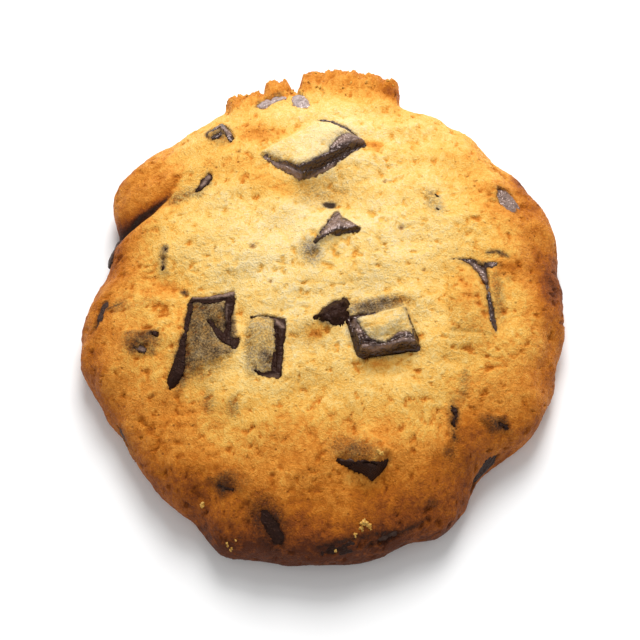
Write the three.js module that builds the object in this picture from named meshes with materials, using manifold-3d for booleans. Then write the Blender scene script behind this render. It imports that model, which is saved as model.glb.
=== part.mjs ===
// A chocolate chip cookie, about 86 mm across and 17 mm thick, lying flat on its underside.
// One domed body of dough has chocolate chunks set into its top and its rim. Some chunks
// stand bare, others carry a thin cap of dough that leaves only their edges showing.
// Millimetres, +Z up, the origin on the ground under the middle of the outline.

import * as THREE from 'three';
import { ConvexGeometry } from 'three/addons/geometries/ConvexGeometry.js';
import { mergeVertices } from 'three/addons/utils/BufferGeometryUtils.js';
import Module from 'manifold-3d';

// Driving dimensions of the dough
const MEAN_RADIUS = 43.6;
const HEIGHT = 16.5;
const SKIRT_HEIGHT = 3.5;
const FOOT_TUCK = 2.0;
const DOME_POWER = 2.5;
const MIDDLE_SHIFT = [0.12, -2.61];

// The outline is an oval with bulges and dents: an angle and a spread in degrees, and a size
const OVAL = { lobes: 2, at: 92, out: 1.1 };
const BULGES = [
  { at: 24, spread: 12, out: 2.4 },
  { at: 55, spread: 10, out: 0.8 },
  { at: 117, spread: 7, out: 0.8 },
  { at: 129, spread: 5, out: -0.8 },
  { at: 144, spread: 11, out: 2.8 },
  { at: 154, spread: 6, out: -1.4 },
  { at: 166, spread: 7, out: -2.0 },
  { at: -167, spread: 12, out: 1.7 },
  { at: -145, spread: 16, out: -1.5 },
  { at: -121, spread: 5, out: -0.9 },
  { at: -112, spread: 9, out: 1.8 },
  { at: -70, spread: 6, out: -1.2 },
  { at: -60, spread: 8, out: 0.8 },
  { at: -46, spread: 11, out: -3.6 },
];

// Broken ledges that stand out from the lower half of the back
const LEDGES = [
  { from: 72.5, to: 95.5, out: 4.6 },
  { from: 97.5, to: 104, out: 3.6 },
  { from: 104, to: 113, out: 2.4 },
];
const LEDGE_EDGE = 1.6;
const LEDGE_CREST = 10.4;
const LEDGE_LIP = 7.0;
const LEDGE_CRUMB = 4.2;
const LEDGE_ROUGHNESS = 0.5;

// A split between the lower lobe at the back left and the main body, from the rim inwards
const SPLIT = [[-38.8, 14.6], [-34.9, 16.0], [-31.2, 17.9], [-28.3, 20.8], [-26.0, 24.7], [-23.1, 26.4]];
const SPLIT_DEPTH = 3.2;
const SPLIT_LOBE_WIDTH = 3.0;
const SPLIT_BODY_WIDTH = 0.9;
const SPLIT_CLOSING = 0.6;

// Hollows and swellings of the top: a place, a reach and a height
const SWELLINGS = [
  { at: [0.4, 20.6], reach: [5.6, 3.2], up: -2.0 },
  { at: [1.2, 18.7], reach: [1.2, 1.2], up: -1.0 },
  { at: [-2.2, -7.0], reach: [2.4, 2.4], up: -1.0 },
  { at: [9.0, -12.6], reach: [4.0, 2.0], up: -1.2 },
  { at: [-27.6, 3.6], reach: [3.4, 2.2], up: -1.3 },
  { at: [8.0, -32.6], reach: [4.6, 2.0], up: -0.9 },
  { at: [-22.0, 31.0], reach: [9.0, 8.0], up: 0.6 },
  { at: [24.0, 14.0], reach: [9.0, 5.0], up: 0.5 },
  { at: [-8.0, 8.0], reach: [8.0, 5.0], up: 0.5 },
  { at: [-16.0, -20.0], reach: [5.0, 4.0], up: 0.6 },
];

// Slow lumps of the whole crust: crossed waves, each turned from the last by a fixed angle
const LUMPS = { count: 7, longest: 34, ratio: 0.78, height: 0.34, turn: 2.4, phase: 1.7 };

// Chocolate: the width of the rounded edge, the gap to the dough and the skin of a cap
const EDGE_ROUND = 0.55;
const CLEARANCE = 0.36;
const SKIN = 0.6;
const CAP_CROWN = 0.4;
const CAP_ROUND = 0.4;
const CAP_DEPTH = 2.6;
const CAP_SLOPE = 0.12;

// Chunks in the top: the plan outline of the upper face, how far it stands above the dough,
// its slope along X and Y, how far the foot spreads, its depth, and the caps of dough on it
const TOP_CHUNKS = [
  {
    name: 'chunk_chevron', outline: [[-11.2, 28.6], [-4.3, 24.4], [6.6, 31.4], [-0.4, 36.0]],
    rise: 1.3, slope: [0.07, -0.22], foot: 1.1, depth: 4.6,
    caps: [[[-10.0, 28.7], [-4.8, 25.4], [0.6, 28.2], [3.6, 32.2], [-0.4, 37.6], [-6.0, 34.0]]],
  },
  {
    name: 'chunk_peak', outline: [[-1.3, 10.7], [1.9, 12.3], [5.8, 13.6], [2.5, 16.9]],
    rise: 1.1, slope: [0.05, -0.1], foot: 0.6, depth: 3.4, caps: [],
  },
  {
    name: 'chunk_slab', outline: [[-23.5, 0.8], [-15.8, 1.1], [-15.0, -9.6], [-27.2, -15.4]],
    rise: 0.3, slope: [0, 0], foot: 0.5, depth: 4.0,
    caps: [
      [[-22.2, -1.7], [-18.2, -2.0], [-18.6, -8.0], [-23.8, -9.0]],
      [[-23.9, -7.0], [-18.6, -7.6], [-14.2, -12.0], [-16.6, -17.5], [-23.4, -15.8]],
    ],
  },
  {
    name: 'chunk_square', outline: [[-13.4, -3.1], [-6.5, -3.8], [-7.3, -14.5], [-13.1, -13.8]],
    rise: 0.5, slope: [0.03, 0], foot: 0.5, depth: 4.0,
    caps: [[[-13.4, -4.7], [-9.8, -4.6], [-9.2, -9.1], [-10.2, -13.2], [-14.4, -13.4], [-16.0, -8.8]]],
  },
  {
    name: 'chunk_block', outline: [[5.6, -3.8], [14.0, -1.7], [15.1, -7.5], [7.3, -8.3]],
    rise: 1.8, slope: [0.04, -0.1], foot: 2.0, depth: 4.6,
    caps: [[[7.4, -2.2], [13.2, 0.2], [13.8, -6.2], [11.0, -7.6], [8.8, -7.0]]],
  },
  {
    name: 'chunk_blob', outline: [[-1.4, -3.8], [0.7, -5.9], [3.4, -4.6], [3.9, 0.0]],
    rise: 0.5, slope: [0, 0], foot: 0.3, depth: 3.0, caps: [],
  },
  {
    name: 'chunk_wedge', outline: [[2.8, -27.4], [7.8, -29.8], [11.0, -26.8], [7.0, -23.2]],
    rise: 1.3, slope: [0.05, -0.27], foot: 1.1, depth: 4.2,
    caps: [[[3.4, -26.8], [7.6, -29.0], [10.4, -26.4], [8.6, -21.6], [5.0, -22.4]]],
  },
  {
    name: 'chunk_fold', outline: [[21.5, 8.0], [31.4, 8.2], [30.1, -6.1], [22.0, -5.7]],
    rise: 0.4, slope: [0, 0], foot: 0.3, depth: 3.6,
    caps: [[[19.5, 6.4], [26.2, 6.3], [28.0, 2.2], [28.9, -7.2], [20.2, -7.4]]],
  },
  {
    name: 'chunk_speckled', outline: [[-35.3, -4.9], [-28.9, -4.8], [-29.5, -9.5], [-34.0, -9.2]],
    rise: 0.2, slope: [0, 0], foot: 0.2, depth: 3.0,
    caps: [[[-36.4, -4.2], [-31.4, -4.0], [-30.9, -7.9], [-35.2, -7.8]]],
  },
  {
    name: 'chunk_arc', outline: [[-21.7, 33.7], [-18.8, 36.8], [-16.4, 31.7], [-19.6, 30.8]],
    rise: 0.3, slope: [0, 0], foot: 0.2, depth: 2.8, caps: [],
  },
  {
    name: 'chunk_oval', outline: [[-24.0, 21.6], [-21.0, 25.4], [-19.9, 23.1], [-22.2, 20.1]],
    rise: 0.3, slope: [0, 0], foot: 0.2, depth: 2.8, caps: [],
  },
  {
    name: 'chunk_streak', outline: [[-29.3, 5.9], [-29.0, 11.2], [-27.7, 11.2], [-27.5, 5.9]],
    rise: 0.2, slope: [0, 0], foot: 0.1, depth: 2.4, caps: [],
  },
  {
    name: 'chunk_crumbly', outline: [[21.0, -18.8], [23.3, -18.5], [23.7, -24.9], [21.4, -25.5]],
    rise: 0.2, slope: [0, 0], foot: 0.1, depth: 2.4, caps: [],
  },
  {
    name: 'chunk_lens', outline: [[27.2, -20.8], [31.6, -19.6], [33.0, -21.9], [28.8, -22.9]],
    rise: 0.2, slope: [0, 0], foot: 0.1, depth: 2.6, caps: [],
  },
  {
    name: 'chunk_stain', outline: [[-20.2, -31.3], [-15.9, -29.8], [-13.0, -33.5], [-17.6, -34.8]],
    rise: 0.3, slope: [0, 0], foot: 0.2, depth: 3.0,
    caps: [[[-19.4, -30.2], [-15.6, -28.4], [-12.0, -32.0], [-14.4, -33.2], [-18.3, -32.8]]],
  },
  {
    name: 'chunk_slit', outline: [[17.9, 21.2], [20.8, 20.4], [21.5, 16.8], [19.1, 16.7]],
    rise: 0.2, slope: [0, 0], foot: 0.1, depth: 2.6,
    caps: [[[18.3, 20.3], [21.5, 19.2], [21.9, 17.9], [18.6, 18.0]]],
  },
];

// Chunks in the rim: the angle and height of the middle, the size along the rim, up the
// slope and into the dough, the turn from the rim's direction, and how far it stands out
const RIM_CHUNKS = [
  { name: 'rim_dark_slab', angle: -102.6, height: 10.6, size: [8.2, 3.2, 3.2], turn: -60, out: 0.4 },
  { name: 'rim_band_left', angle: -86, height: 7.4, size: [7.6, 2.6, 3.0], turn: 10, out: 0.15 },
  { name: 'rim_band_right', angle: -69, height: 7.2, size: [13.5, 2.4, 3.0], turn: 3, out: 0.3 },
  { name: 'rim_notch', angle: -45.5, height: 5.6, size: [8.2, 4.2, 3.4], turn: 4, out: 0.7 },
  { name: 'rim_strip', angle: 161.8, height: 6.6, size: [5.2, 2.2, 2.6], turn: 0, out: 0.3 },
  { name: 'rim_streak', angle: -178.6, height: 10.2, size: [5.6, 1.6, 2.4], turn: -28, out: 0.3 },
  { name: 'rim_low', angle: -148.6, height: 5.6, size: [4.8, 2.2, 2.6], turn: 0, out: 0.3 },
  { name: 'rim_shard', angle: 103.4, height: 9.2, size: [6.4, 2.6, 2.6], turn: 24, out: 0.8 },
  { name: 'rim_tooth', angle: 96.0, height: 10.2, size: [2.8, 5.4, 3.0], turn: 8, out: 0.8 },
  { name: 'rim_nugget', angle: 34.6, height: 9.4, size: [7.8, 4.0, 3.6], turn: 4, out: 0.8 },
];

// How much one end of a rim chunk is wider than the other
const RIM_TAPER = 0.12;

// Fineness of the faceted shapes
const GRID = 50;
const PROFILE_STEPS = 160;
const EDGE_DETAIL = 1;
const SEARCH_STEP = 0.002;

const CRUST = { color: 0xdfa455, roughness: 0.85, metalness: 0 };
const CHOCOLATE = { color: 0x3b231b, roughness: 0.4, metalness: 0 };

const radians = THREE.MathUtils.degToRad;
const smooth = THREE.MathUtils.smoothstep;

// Difference of two angles in degrees, between -180 and 180
function turnBetween(a, b) {
  return THREE.MathUtils.euclideanModulo(a - b + 180, 360) - 180;
}

function outlineRadius(angle) {
  const degrees = THREE.MathUtils.radToDeg(angle);
  let radius = MEAN_RADIUS + OVAL.out * Math.cos(OVAL.lobes * (angle - radians(OVAL.at)));
  for (const bulge of BULGES) {
    radius += bulge.out * Math.exp(-((turnBetween(degrees, bulge.at) / bulge.spread) ** 2));
  }
  return radius;
}

function ledgeOut(angle) {
  const degrees = THREE.MathUtils.euclideanModulo(THREE.MathUtils.radToDeg(angle), 360);
  let out = 0;
  for (const ledge of LEDGES) {
    const inside = Math.min(degrees - ledge.from, ledge.to - degrees);
    out = Math.max(out, ledge.out * smooth(inside, -LEDGE_EDGE, LEDGE_EDGE));
  }
  return out;
}

// The section from the crown to the foot: a superellipse dome, then a quarter turn inwards
function sectionPoints() {
  const points = [];
  for (let i = 0; i <= PROFILE_STEPS; i += 1) {
    const angle = (Math.PI / 2) * (i / PROFILE_STEPS);
    const share = Math.sin(angle) ** (2 / DOME_POWER);
    const height = SKIRT_HEIGHT + (HEIGHT - SKIRT_HEIGHT) * Math.cos(angle) ** (2 / DOME_POWER);
    points.push({ share, inset: 0, height });
  }
  for (let i = 1; i <= PROFILE_STEPS / 4; i += 1) {
    const angle = (Math.PI / 2) * (i / (PROFILE_STEPS / 4));
    const inset = FOOT_TUCK * (1 - Math.cos(angle));
    points.push({ share: 1, inset, height: SKIRT_HEIGHT * (1 - Math.sin(angle)) });
  }
  return points;
}

// The section with the length run so far, and its outward direction, at each point
function measuredSection() {
  const points = sectionPoints();
  const out = (p) => p.share * MEAN_RADIUS - p.inset;
  let length = 0;
  points.forEach((point, i) => {
    const before = points[Math.max(i - 1, 0)];
    const after = points[Math.min(i + 1, points.length - 1)];
    length += Math.hypot(out(point) - out(before), point.height - before.height);
    const direction = new THREE.Vector2(before.height - after.height, out(after) - out(before));
    point.length = length;
    point.normal = direction.normalize();
  });
  return points;
}

const SECTION = measuredSection();
const SECTION_LENGTH = SECTION[SECTION.length - 1].length;

function sectionAt(share) {
  const length = share * SECTION_LENGTH;
  let i = 1;
  while (i < SECTION.length - 1 && SECTION[i].length < length) i += 1;
  const [a, b] = [SECTION[i - 1], SECTION[i]];
  const mix = THREE.MathUtils.clamp((length - a.length) / (b.length - a.length || 1), 0, 1);
  return {
    share: THREE.MathUtils.lerp(a.share, b.share, mix),
    inset: THREE.MathUtils.lerp(a.inset, b.inset, mix),
    height: THREE.MathUtils.lerp(a.height, b.height, mix),
    normal: a.normal.clone().lerp(b.normal, mix).normalize(),
  };
}

// Height of the smooth dome over a place in plan
function domeHeight(x, y) {
  const share = Math.min(Math.hypot(x, y) / outlineRadius(Math.atan2(y, x)), 1);
  return SKIRT_HEIGHT + (HEIGHT - SKIRT_HEIGHT) * (1 - share ** DOME_POWER) ** (1 / DOME_POWER);
}

// Distance from a place to the split line, with the side it lies on and how far along it is
function splitAt(x, y) {
  let nearest = { distance: Infinity, side: 1, along: 0 };
  for (let i = 0; i < SPLIT.length - 1; i += 1) {
    const [ax, ay] = SPLIT[i];
    const [bx, by] = SPLIT[i + 1];
    const [dx, dy] = [bx - ax, by - ay];
    const share = THREE.MathUtils.clamp(((x - ax) * dx + (y - ay) * dy) / (dx * dx + dy * dy), 0, 1);
    const distance = Math.hypot(x - ax - dx * share, y - ay - dy * share);
    if (distance < nearest.distance) {
      const side = Math.sign(dx * (y - ay) - dy * (x - ax)) || 1;
      nearest = { distance, side, along: (i + share) / (SPLIT.length - 1) };
    }
  }
  return nearest;
}

function lumps(x, y, z) {
  let sum = 0;
  let length = LUMPS.longest;
  for (let i = 0; i < LUMPS.count; i += 1) {
    const angle = i * LUMPS.turn;
    const place = x * Math.cos(angle) + y * Math.sin(angle) + z * Math.cos(angle * 2);
    sum += Math.sin((2 * Math.PI * place) / length + i * LUMPS.phase);
    length *= LUMPS.ratio;
  }
  return (LUMPS.height * sum) / Math.sqrt(LUMPS.count / 2);
}

// How far the crust stands out from the smooth dome
function relief(x, y, z) {
  let out = lumps(x, y, z);
  for (const { at, reach, up } of SWELLINGS) {
    out += up * Math.exp(-(((x - at[0]) / reach[0]) ** 2) - (((y - at[1]) / reach[1]) ** 2));
  }
  const { distance, side, along } = splitAt(x, y);
  const width = side > 0 ? SPLIT_LOBE_WIDTH * (1 - SPLIT_CLOSING * along) : SPLIT_BODY_WIDTH;
  return out - SPLIT_DEPTH * (1 - along) * Math.exp(-distance / width);
}

// A point of the crust, by its angle and its share of the way from the crown to the foot
function crustPoint(angle, share) {
  const { share: reach, inset, height, normal } = sectionAt(share);
  const ledge = ledgeOut(angle);
  const onLedge = 1 - smooth(height, LEDGE_LIP, LEDGE_CREST);
  const radius = reach * outlineRadius(angle) - inset + ledge * onLedge;
  const [x, y] = [radius * Math.cos(angle), radius * Math.sin(angle)];
  const wave = (2 * Math.PI) / LEDGE_CRUMB;
  const crumbs = LEDGE_ROUGHNESS * Math.sin(wave * x) * Math.cos(wave * (y + height));
  const crumble = crumbs * Math.min(ledge, 1) * onLedge;
  const push = (relief(x, y, height) + crumble) * smooth(height, 0, SKIRT_HEIGHT);
  return new THREE.Vector3(
    x + push * normal.x * Math.cos(angle),
    y + push * normal.x * Math.sin(angle),
    Math.max(height + push * normal.y, 0),
  );
}

// Maps the square from -1 to 1 onto a disc: an angle and a share of the radius
function squareToDisc(u, v) {
  if (u === 0 && v === 0) return [0, 0];
  if (Math.abs(u) > Math.abs(v)) return [(Math.PI / 4) * (v / u) + (u < 0 ? Math.PI : 0), Math.abs(u)];
  return [Math.PI / 2 - (Math.PI / 4) * (u / v) + (v < 0 ? Math.PI : 0), Math.abs(v)];
}

// The crust is a square grid laid over the dome; its border is the foot, closed by a flat face
function doughSurface() {
  const geometry = new THREE.PlaneGeometry(2, 2, GRID, GRID);
  const position = geometry.attributes.position;
  for (let i = 0; i < position.count; i += 1) {
    const point = crustPoint(...squareToDisc(position.getX(i), position.getY(i)));
    position.setXYZ(i, point.x, point.y, point.z);
  }
  const row = GRID + 1;
  const border = [];
  for (let i = 0; i < GRID; i += 1) border.push(i);
  for (let i = 0; i < GRID; i += 1) border.push(GRID + i * row);
  for (let i = GRID; i > 0; i -= 1) border.push(GRID * row + i);
  for (let i = GRID; i > 0; i -= 1) border.push(i * row);
  border.forEach((i) => position.setZ(i, 0));
  const contour = border.map((i) => new THREE.Vector2(position.getX(i), position.getY(i)));
  const under = THREE.ShapeUtils.triangulateShape(contour, []);
  const faces = under.map(([a, b, c]) => [border[a], border[c], border[b]]);
  geometry.setIndex([...geometry.index.array, ...faces.flat()]);
  return geometry;
}

// The convex body around small balls at the given corners
function roundedBody(corners, ballRadius) {
  const ball = new THREE.OctahedronGeometry(ballRadius, EDGE_DETAIL).attributes.position;
  const points = [];
  for (const corner of corners) {
    for (let i = 0; i < ball.count; i += 1) {
      points.push(new THREE.Vector3().fromBufferAttribute(ball, i).add(corner));
    }
  }
  return new ConvexGeometry(points);
}

function middleOf(outline) {
  const sum = outline.reduce(([x, y], [px, py]) => [x + px, y + py], [0, 0]);
  return sum.map((value) => value / outline.length);
}

// The upper face of a chunk over a place in plan
function chunkTop(chunk, x, y) {
  const [mx, my] = middleOf(chunk.outline);
  const lean = chunk.slope[0] * (x - mx) + chunk.slope[1] * (y - my);
  return domeHeight(x, y) + lumps(x, y, domeHeight(x, y)) + chunk.rise + lean;
}

function topChunkCorners(chunk) {
  const [mx, my] = middleOf(chunk.outline);
  return chunk.outline.flatMap(([x, y]) => {
    const out = new THREE.Vector2(x - mx, y - my).normalize();
    const inside = new THREE.Vector2(x, y).addScaledVector(out, -EDGE_ROUND);
    const below = new THREE.Vector2(x, y).addScaledVector(out, chunk.foot - EDGE_ROUND);
    const top = chunkTop(chunk, x, y) - EDGE_ROUND;
    const bottom = top - chunk.depth + 2 * EDGE_ROUND;
    return [new THREE.Vector3(inside.x, inside.y, top), new THREE.Vector3(below.x, below.y, bottom)];
  });
}

// A cap of dough over part of a chunk, crowned in its middle, with its lower half in the dough
function capBody(chunk, outline) {
  const [mx, my] = middleOf(outline);
  const lift = CLEARANCE + SKIN - CAP_ROUND;
  const corners = outline.flatMap(([x, y]) => {
    const top = chunkTop(chunk, x, y) + lift;
    const upper = new THREE.Vector3(x, y, top).lerp(new THREE.Vector3(mx, my, top), CAP_SLOPE);
    return [upper, new THREE.Vector3(x, y, top - CAP_DEPTH)];
  });
  corners.push(new THREE.Vector3(mx, my, chunkTop(chunk, mx, my) + lift + CAP_CROWN));
  return roundedBody(corners, CAP_ROUND);
}

// A block in the rim, square to the crust where its middle lies
function rimChunkCorners(chunk) {
  const angle = radians(chunk.angle);
  let share = 0;
  while (share < 1 && sectionAt(share).height > chunk.height) share += SEARCH_STEP;
  const middle = crustPoint(angle, share);
  const { normal } = sectionAt(share);
  const along = new THREE.Vector3(-Math.sin(angle), Math.cos(angle), 0);
  const out = new THREE.Vector3(normal.x * Math.cos(angle), normal.x * Math.sin(angle), normal.y);
  const up = new THREE.Vector3().crossVectors(out, along);
  const place = new THREE.Matrix4().makeBasis(along, up, out).setPosition(middle);
  const turn = new THREE.Matrix4().makeRotationZ(radians(chunk.turn));
  const [length, width, depth] = chunk.size;
  const corners = [];
  for (const x of [-1, 1]) {
    for (const y of [-1, 1]) {
      for (const z of [chunk.out - EDGE_ROUND, chunk.out - depth + EDGE_ROUND]) {
        const taper = 1 - RIM_TAPER * x * y;
        const corner = new THREE.Vector3(
          x * (length / 2 - EDGE_ROUND) * taper,
          y * (width / 2 - EDGE_ROUND),
          z,
        );
        corners.push(corner.applyMatrix4(turn).applyMatrix4(place));
      }
    }
  }
  return corners;
}

const wasm = await Module();
wasm.setup();

function toSolid(geometry) {
  const bare = geometry.clone();
  bare.deleteAttribute('normal');
  bare.deleteAttribute('uv');
  const merged = mergeVertices(bare, 1e-5);
  return new wasm.Manifold(new wasm.Mesh({
    numProp: 3,
    vertProperties: new Float32Array(merged.attributes.position.array),
    triVerts: new Uint32Array(merged.index.array),
  }));
}

function toGeometry(solid) {
  const mesh = solid.getMesh();
  const geometry = new THREE.BufferGeometry();
  geometry.setAttribute('position', new THREE.BufferAttribute(mesh.vertProperties, 3));
  geometry.setIndex(new THREE.BufferAttribute(mesh.triVerts, 1));
  geometry.computeVertexNormals();
  return geometry;
}

// Keeps the largest body of a solid and drops loose scraps
function largestBody(solid) {
  const bodies = solid.decompose();
  return bodies.reduce((best, body) => (body.volume() > best.volume() ? body : best));
}

const chunks = [
  ...TOP_CHUNKS.map((chunk) => ({ name: chunk.name, corners: topChunkCorners(chunk) })),
  ...RIM_CHUNKS.map((chunk) => ({ name: chunk.name, corners: rimChunkCorners(chunk) })),
];

let dough = toSolid(doughSurface());
for (const chunk of TOP_CHUNKS) {
  for (const outline of chunk.caps) dough = dough.add(toSolid(capBody(chunk, outline)));
}
for (const { corners } of chunks) {
  dough = dough.subtract(toSolid(roundedBody(corners, EDGE_ROUND + CLEARANCE)));
}
dough = largestBody(dough);

const group = new THREE.Group();

function addPiece(name, geometry, look) {
  const mesh = new THREE.Mesh(geometry, new THREE.MeshStandardMaterial(look));
  mesh.name = name;
  mesh.position.set(MIDDLE_SHIFT[0], MIDDLE_SHIFT[1], 0);
  group.add(mesh);
}

addPiece('dough', toGeometry(dough), CRUST);
for (const { name, corners } of chunks) {
  addPiece(name, toGeometry(toSolid(roundedBody(corners, EDGE_ROUND))), CHOCOLATE);
}

export default group;
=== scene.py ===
import math
from typing import NamedTuple

import bpy
import numpy as np
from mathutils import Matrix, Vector


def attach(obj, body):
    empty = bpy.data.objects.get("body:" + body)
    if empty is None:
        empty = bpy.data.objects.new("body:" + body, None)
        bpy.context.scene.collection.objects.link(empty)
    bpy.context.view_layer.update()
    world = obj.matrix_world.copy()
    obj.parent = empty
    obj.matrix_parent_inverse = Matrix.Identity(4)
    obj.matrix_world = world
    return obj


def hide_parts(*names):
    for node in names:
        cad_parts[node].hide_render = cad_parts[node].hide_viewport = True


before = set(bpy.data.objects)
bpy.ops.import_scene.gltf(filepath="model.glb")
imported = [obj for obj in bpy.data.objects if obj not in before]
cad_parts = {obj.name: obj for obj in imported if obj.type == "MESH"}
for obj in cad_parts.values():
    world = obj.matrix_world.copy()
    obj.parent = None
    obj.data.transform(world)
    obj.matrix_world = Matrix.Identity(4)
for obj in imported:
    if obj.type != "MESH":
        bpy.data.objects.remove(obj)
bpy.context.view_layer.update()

bl_info = {
    "name": "Chocolate Chip Cookie",
    "version": (1, 0, 0),
    "blender": (4, 5, 0),
    "location": "3D View > Sidebar > Cookie",
    "description": "Bakes a chocolate chip cookie: its dough, its chocolate, its crumbs and a studio",
    "category": "Add Mesh",
}

# Lengths in this file are millimetres in the cookie's own plan, +Z up, until a mesh is made.
MM = 0.001
MIDDLE_SHIFT = (0.12, -2.61)
BODY = "root"
TINY = 1e-9

# The outline is an oval with bulges and dents: (angle, spread in degrees, how far out)
OVAL = (2, 92.0, 1.1)
BULGES = (
    (24, 12, 2.4), (55, 10, 0.8), (117, 7, 0.8), (129, 5, -0.8), (144, 11, 2.8), (154, 6, -1.4),
    (166, 7, -2.0), (-167, 12, 1.7), (-145, 16, -1.5), (-121, 5, -0.9), (-112, 9, 1.8), (-70, 6, -1.2),
    (-60, 8, 0.8), (-46, 11, -3.6),
)
# Broken ledges at the back: (from, to in degrees, how far out), with crest, lip and edge
LEDGES = ((72.5, 95.5, 4.6), (97.5, 104.0, 3.6), (104.0, 113.0, 2.4))
LEDGE_EDGE = 1.6
LEDGE_CREST = 10.4
LEDGE_LIP = 7.0
# Steps of the side view, and of a search along it
DOME_STEPS = 400
TUCK_STEPS = 60
WAY_STEPS = 1001

# Slow lumps are crossed waves
WAVES = 7
LONGEST_WAVE = 34.0
NEXT_WAVE = 0.78
WAVE_TURN = 2.4
WAVE_SHIFT = 1.7
WAVE_HEIGHT = 0.34

# The split beside the lower lobe at the back left, from the rim inwards
SPLIT = ((-38.8, 14.6), (-34.9, 16.0), (-31.2, 17.9), (-28.3, 20.8), (-26.0, 24.7), (-23.1, 26.4))
SPLIT_DEPTH = 4.2
SPLIT_LOBE_WIDTH = 2.6
SPLIT_BODY_WIDTH = 0.6
LOBE_SHADE_REACHES = (2.3, 1.2, 0.3)

# Hollows and swellings: (x, y, reach along x, reach along y, height)
SWELLINGS = (
    (0.4, 20.6, 5.6, 3.2, -2.0), (1.2, 18.7, 1.2, 1.2, -1.0), (-2.2, -7.0, 2.4, 2.4, -1.0),
    (9.0, -12.6, 4.0, 2.0, -1.2), (-27.6, 3.6, 3.4, 2.2, -1.3), (8.0, -32.6, 4.6, 2.0, -0.9),
    (-22.0, 31.0, 9.0, 8.0, 0.6), (24.0, 14.0, 9.0, 5.0, 0.5), (-8.0, 8.0, 8.0, 5.0, 0.5),
    (-16.0, -20.0, 5.0, 4.0, 0.6), (30.4, 23.2, 1.4, 2.6, 1.0), (35.6, 25.6, 1.5, 2.0, 0.9),
)

# Noise over the plan: (reach along x, reach along y, level, seed)
SPLIT_WOBBLE = (3.0, 3.0, 0.7, 41)
CRACK_DRIFT = (5.0, 5.0, 5.2, 50)
CRACK_FOLD = (3.0, 1.9, 1.7, 51)
CRACK_BAND = (13.0, 8.0, 2.2, 53)
CRACK_BREAKS = (2.1, 1.7, 7.7, 54)
CHUNK_WOBBLE = (2.6, 2.6, 8.8, 60)
BORDER_WOBBLE = (2.4, 2.4, 6.5, 62)
# Layered noise: (size, layers, seed, and the gain where it isn't a half)
BROKEN = (1.9, 4, 30, 0.75)
WAVY = (6.0, 3, 31)
GRAINY = (1.4, 3, 32, 0.65)
PITTED = (1.9, 3, 55, 0.6)
TORN_BORDER = (1.0, 3, 61, 0.7)
TORN_WINDOW = (1.9, 3, 71)
MELTED = (2.2, 3, 20, 0.6)
KNOBBLY = (2.2, 3, 25)
BAKE_PATCHES = (9.0, 2, 80)
BAKE_SPOTS = (2.2, 2, 81)
UNEVEN = (2.4, 2, 90)
PAINTED_LIGHT_SEED = 27
NOISE_GAIN = 1.6
BROKEN_HEIGHT = 0.62
WAVY_HEIGHT = 0.30
GRAINY_HEIGHT = 0.10

CRACK_BEND = 1.8
CRACK_DEPTH = 0.36
CRACK_WIDTH = 0.10
PIT_DEPTH = 0.46
PIT_LIP = 0.08
PORE_DEPTH = 0.7
PORE_SPREAD = 0.6
PORE_FLOOR = 0.55
# Shares of the radius over which the push turns sideways, and over which the chunks end
SIDE_STARTS = (0.86, 0.97)
TOP_ENDS = (0.93, 0.99)
# Size of the crust's cells at the crown, against even ones, and what that leaves for the side
TOP_CELLS = 0.80
SIDE_CELLS = 0.20
UNDERSIDE_RINGS = (0.98, 0.9, 0.7, 0.4, 0.12)

# The face of a chunk: how it slopes off past its outline, dips towards it and wavers
FOOT_DROP = 1.2
SHORTEST_FOOT = 0.4
EDGE_DIP = 0.35
EDGE_REACH = 0.5
OUTLINE_WOBBLE = 0.22
CHUNK_NEAR = 4.0
# Where dough and chocolate meet: how torn the border is, and how each sinks under the other
TORN_REACH = 0.26
WAVER_REACH = 0.20
BORDER_SOFT = 0.16
LEAST_FALL = 0.15
DOUGH_STOPS_SHORT = 0.08
DOUGH_SINKS = 0.8
CHOCOLATE_RUNS_PAST = 0.18
CHOCOLATE_SINKS = 0.95
RIDGE_REACH = 0.68
CUT_REACH = 0.30
RIDGE_SHARE = 0.8
CHUNK_BULGE = 0.10
RIPPLE_HEIGHT = 0.16
# The mesh of a chunk: its margin and cells, how its border rounds off, and its rows of wall
CHUNK_MARGIN = 0.3
CHUNK_CELL = 0.13
CHUNK_CELLS = (24, 110)
CHUNK_ROUNDING = 0.05
BORDER_DROP = 1.2
FLOOR_RISE = 0.3
THINNEST_CHUNK = 0.5
WALL_ROWS = (0.25, 0.5, 0.75)


class Chunk(NamedTuple):
    """A chunk in the top: outline, rise and slope as in the solid or near it, and where it is bare.

    bare lists strokes (x, y, half width) along which the chocolate shows, ridges lines of
    (x, y, height) on it, and the last field strokes where the chocolate is painted lighter: painted light
    on faces lit by the key light and painted highlights on ridges, mixed with greyish bloom. crown is how
    far the dough on the chunk swells, film how strongly chocolate tints it, and fall how far past its foot
    the chunk is bare."""

    name: str
    outline: tuple
    bare: tuple
    rise: float = 0.2
    slope: tuple = (0.0, 0.0)
    foot: float = 0.1
    depth: float = 2.6
    crown: float = 0.0
    pale: float = 0.0
    film: float = 0.30
    fall: float = 0.0
    ragged: float = 1.0
    ridges: tuple = ()
    painted_light_marks: tuple = ()


class RimChunk(NamedTuple):
    """A chunk in the rim: where it sits, its size along, up and deep, and how far it stands out.

    It shows through a window: start is its middle along the chunk, half its half length and
    wide its half width. Its last field is how much painted light it has, mixed with greyish bloom: on the
    shard, tooth and nugget a painted highlight of the key light."""

    name: str
    angle: float
    height: float
    size: tuple
    turn: float
    out: float
    start: float
    half: float
    wide: float
    painted_light_marks: float


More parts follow.
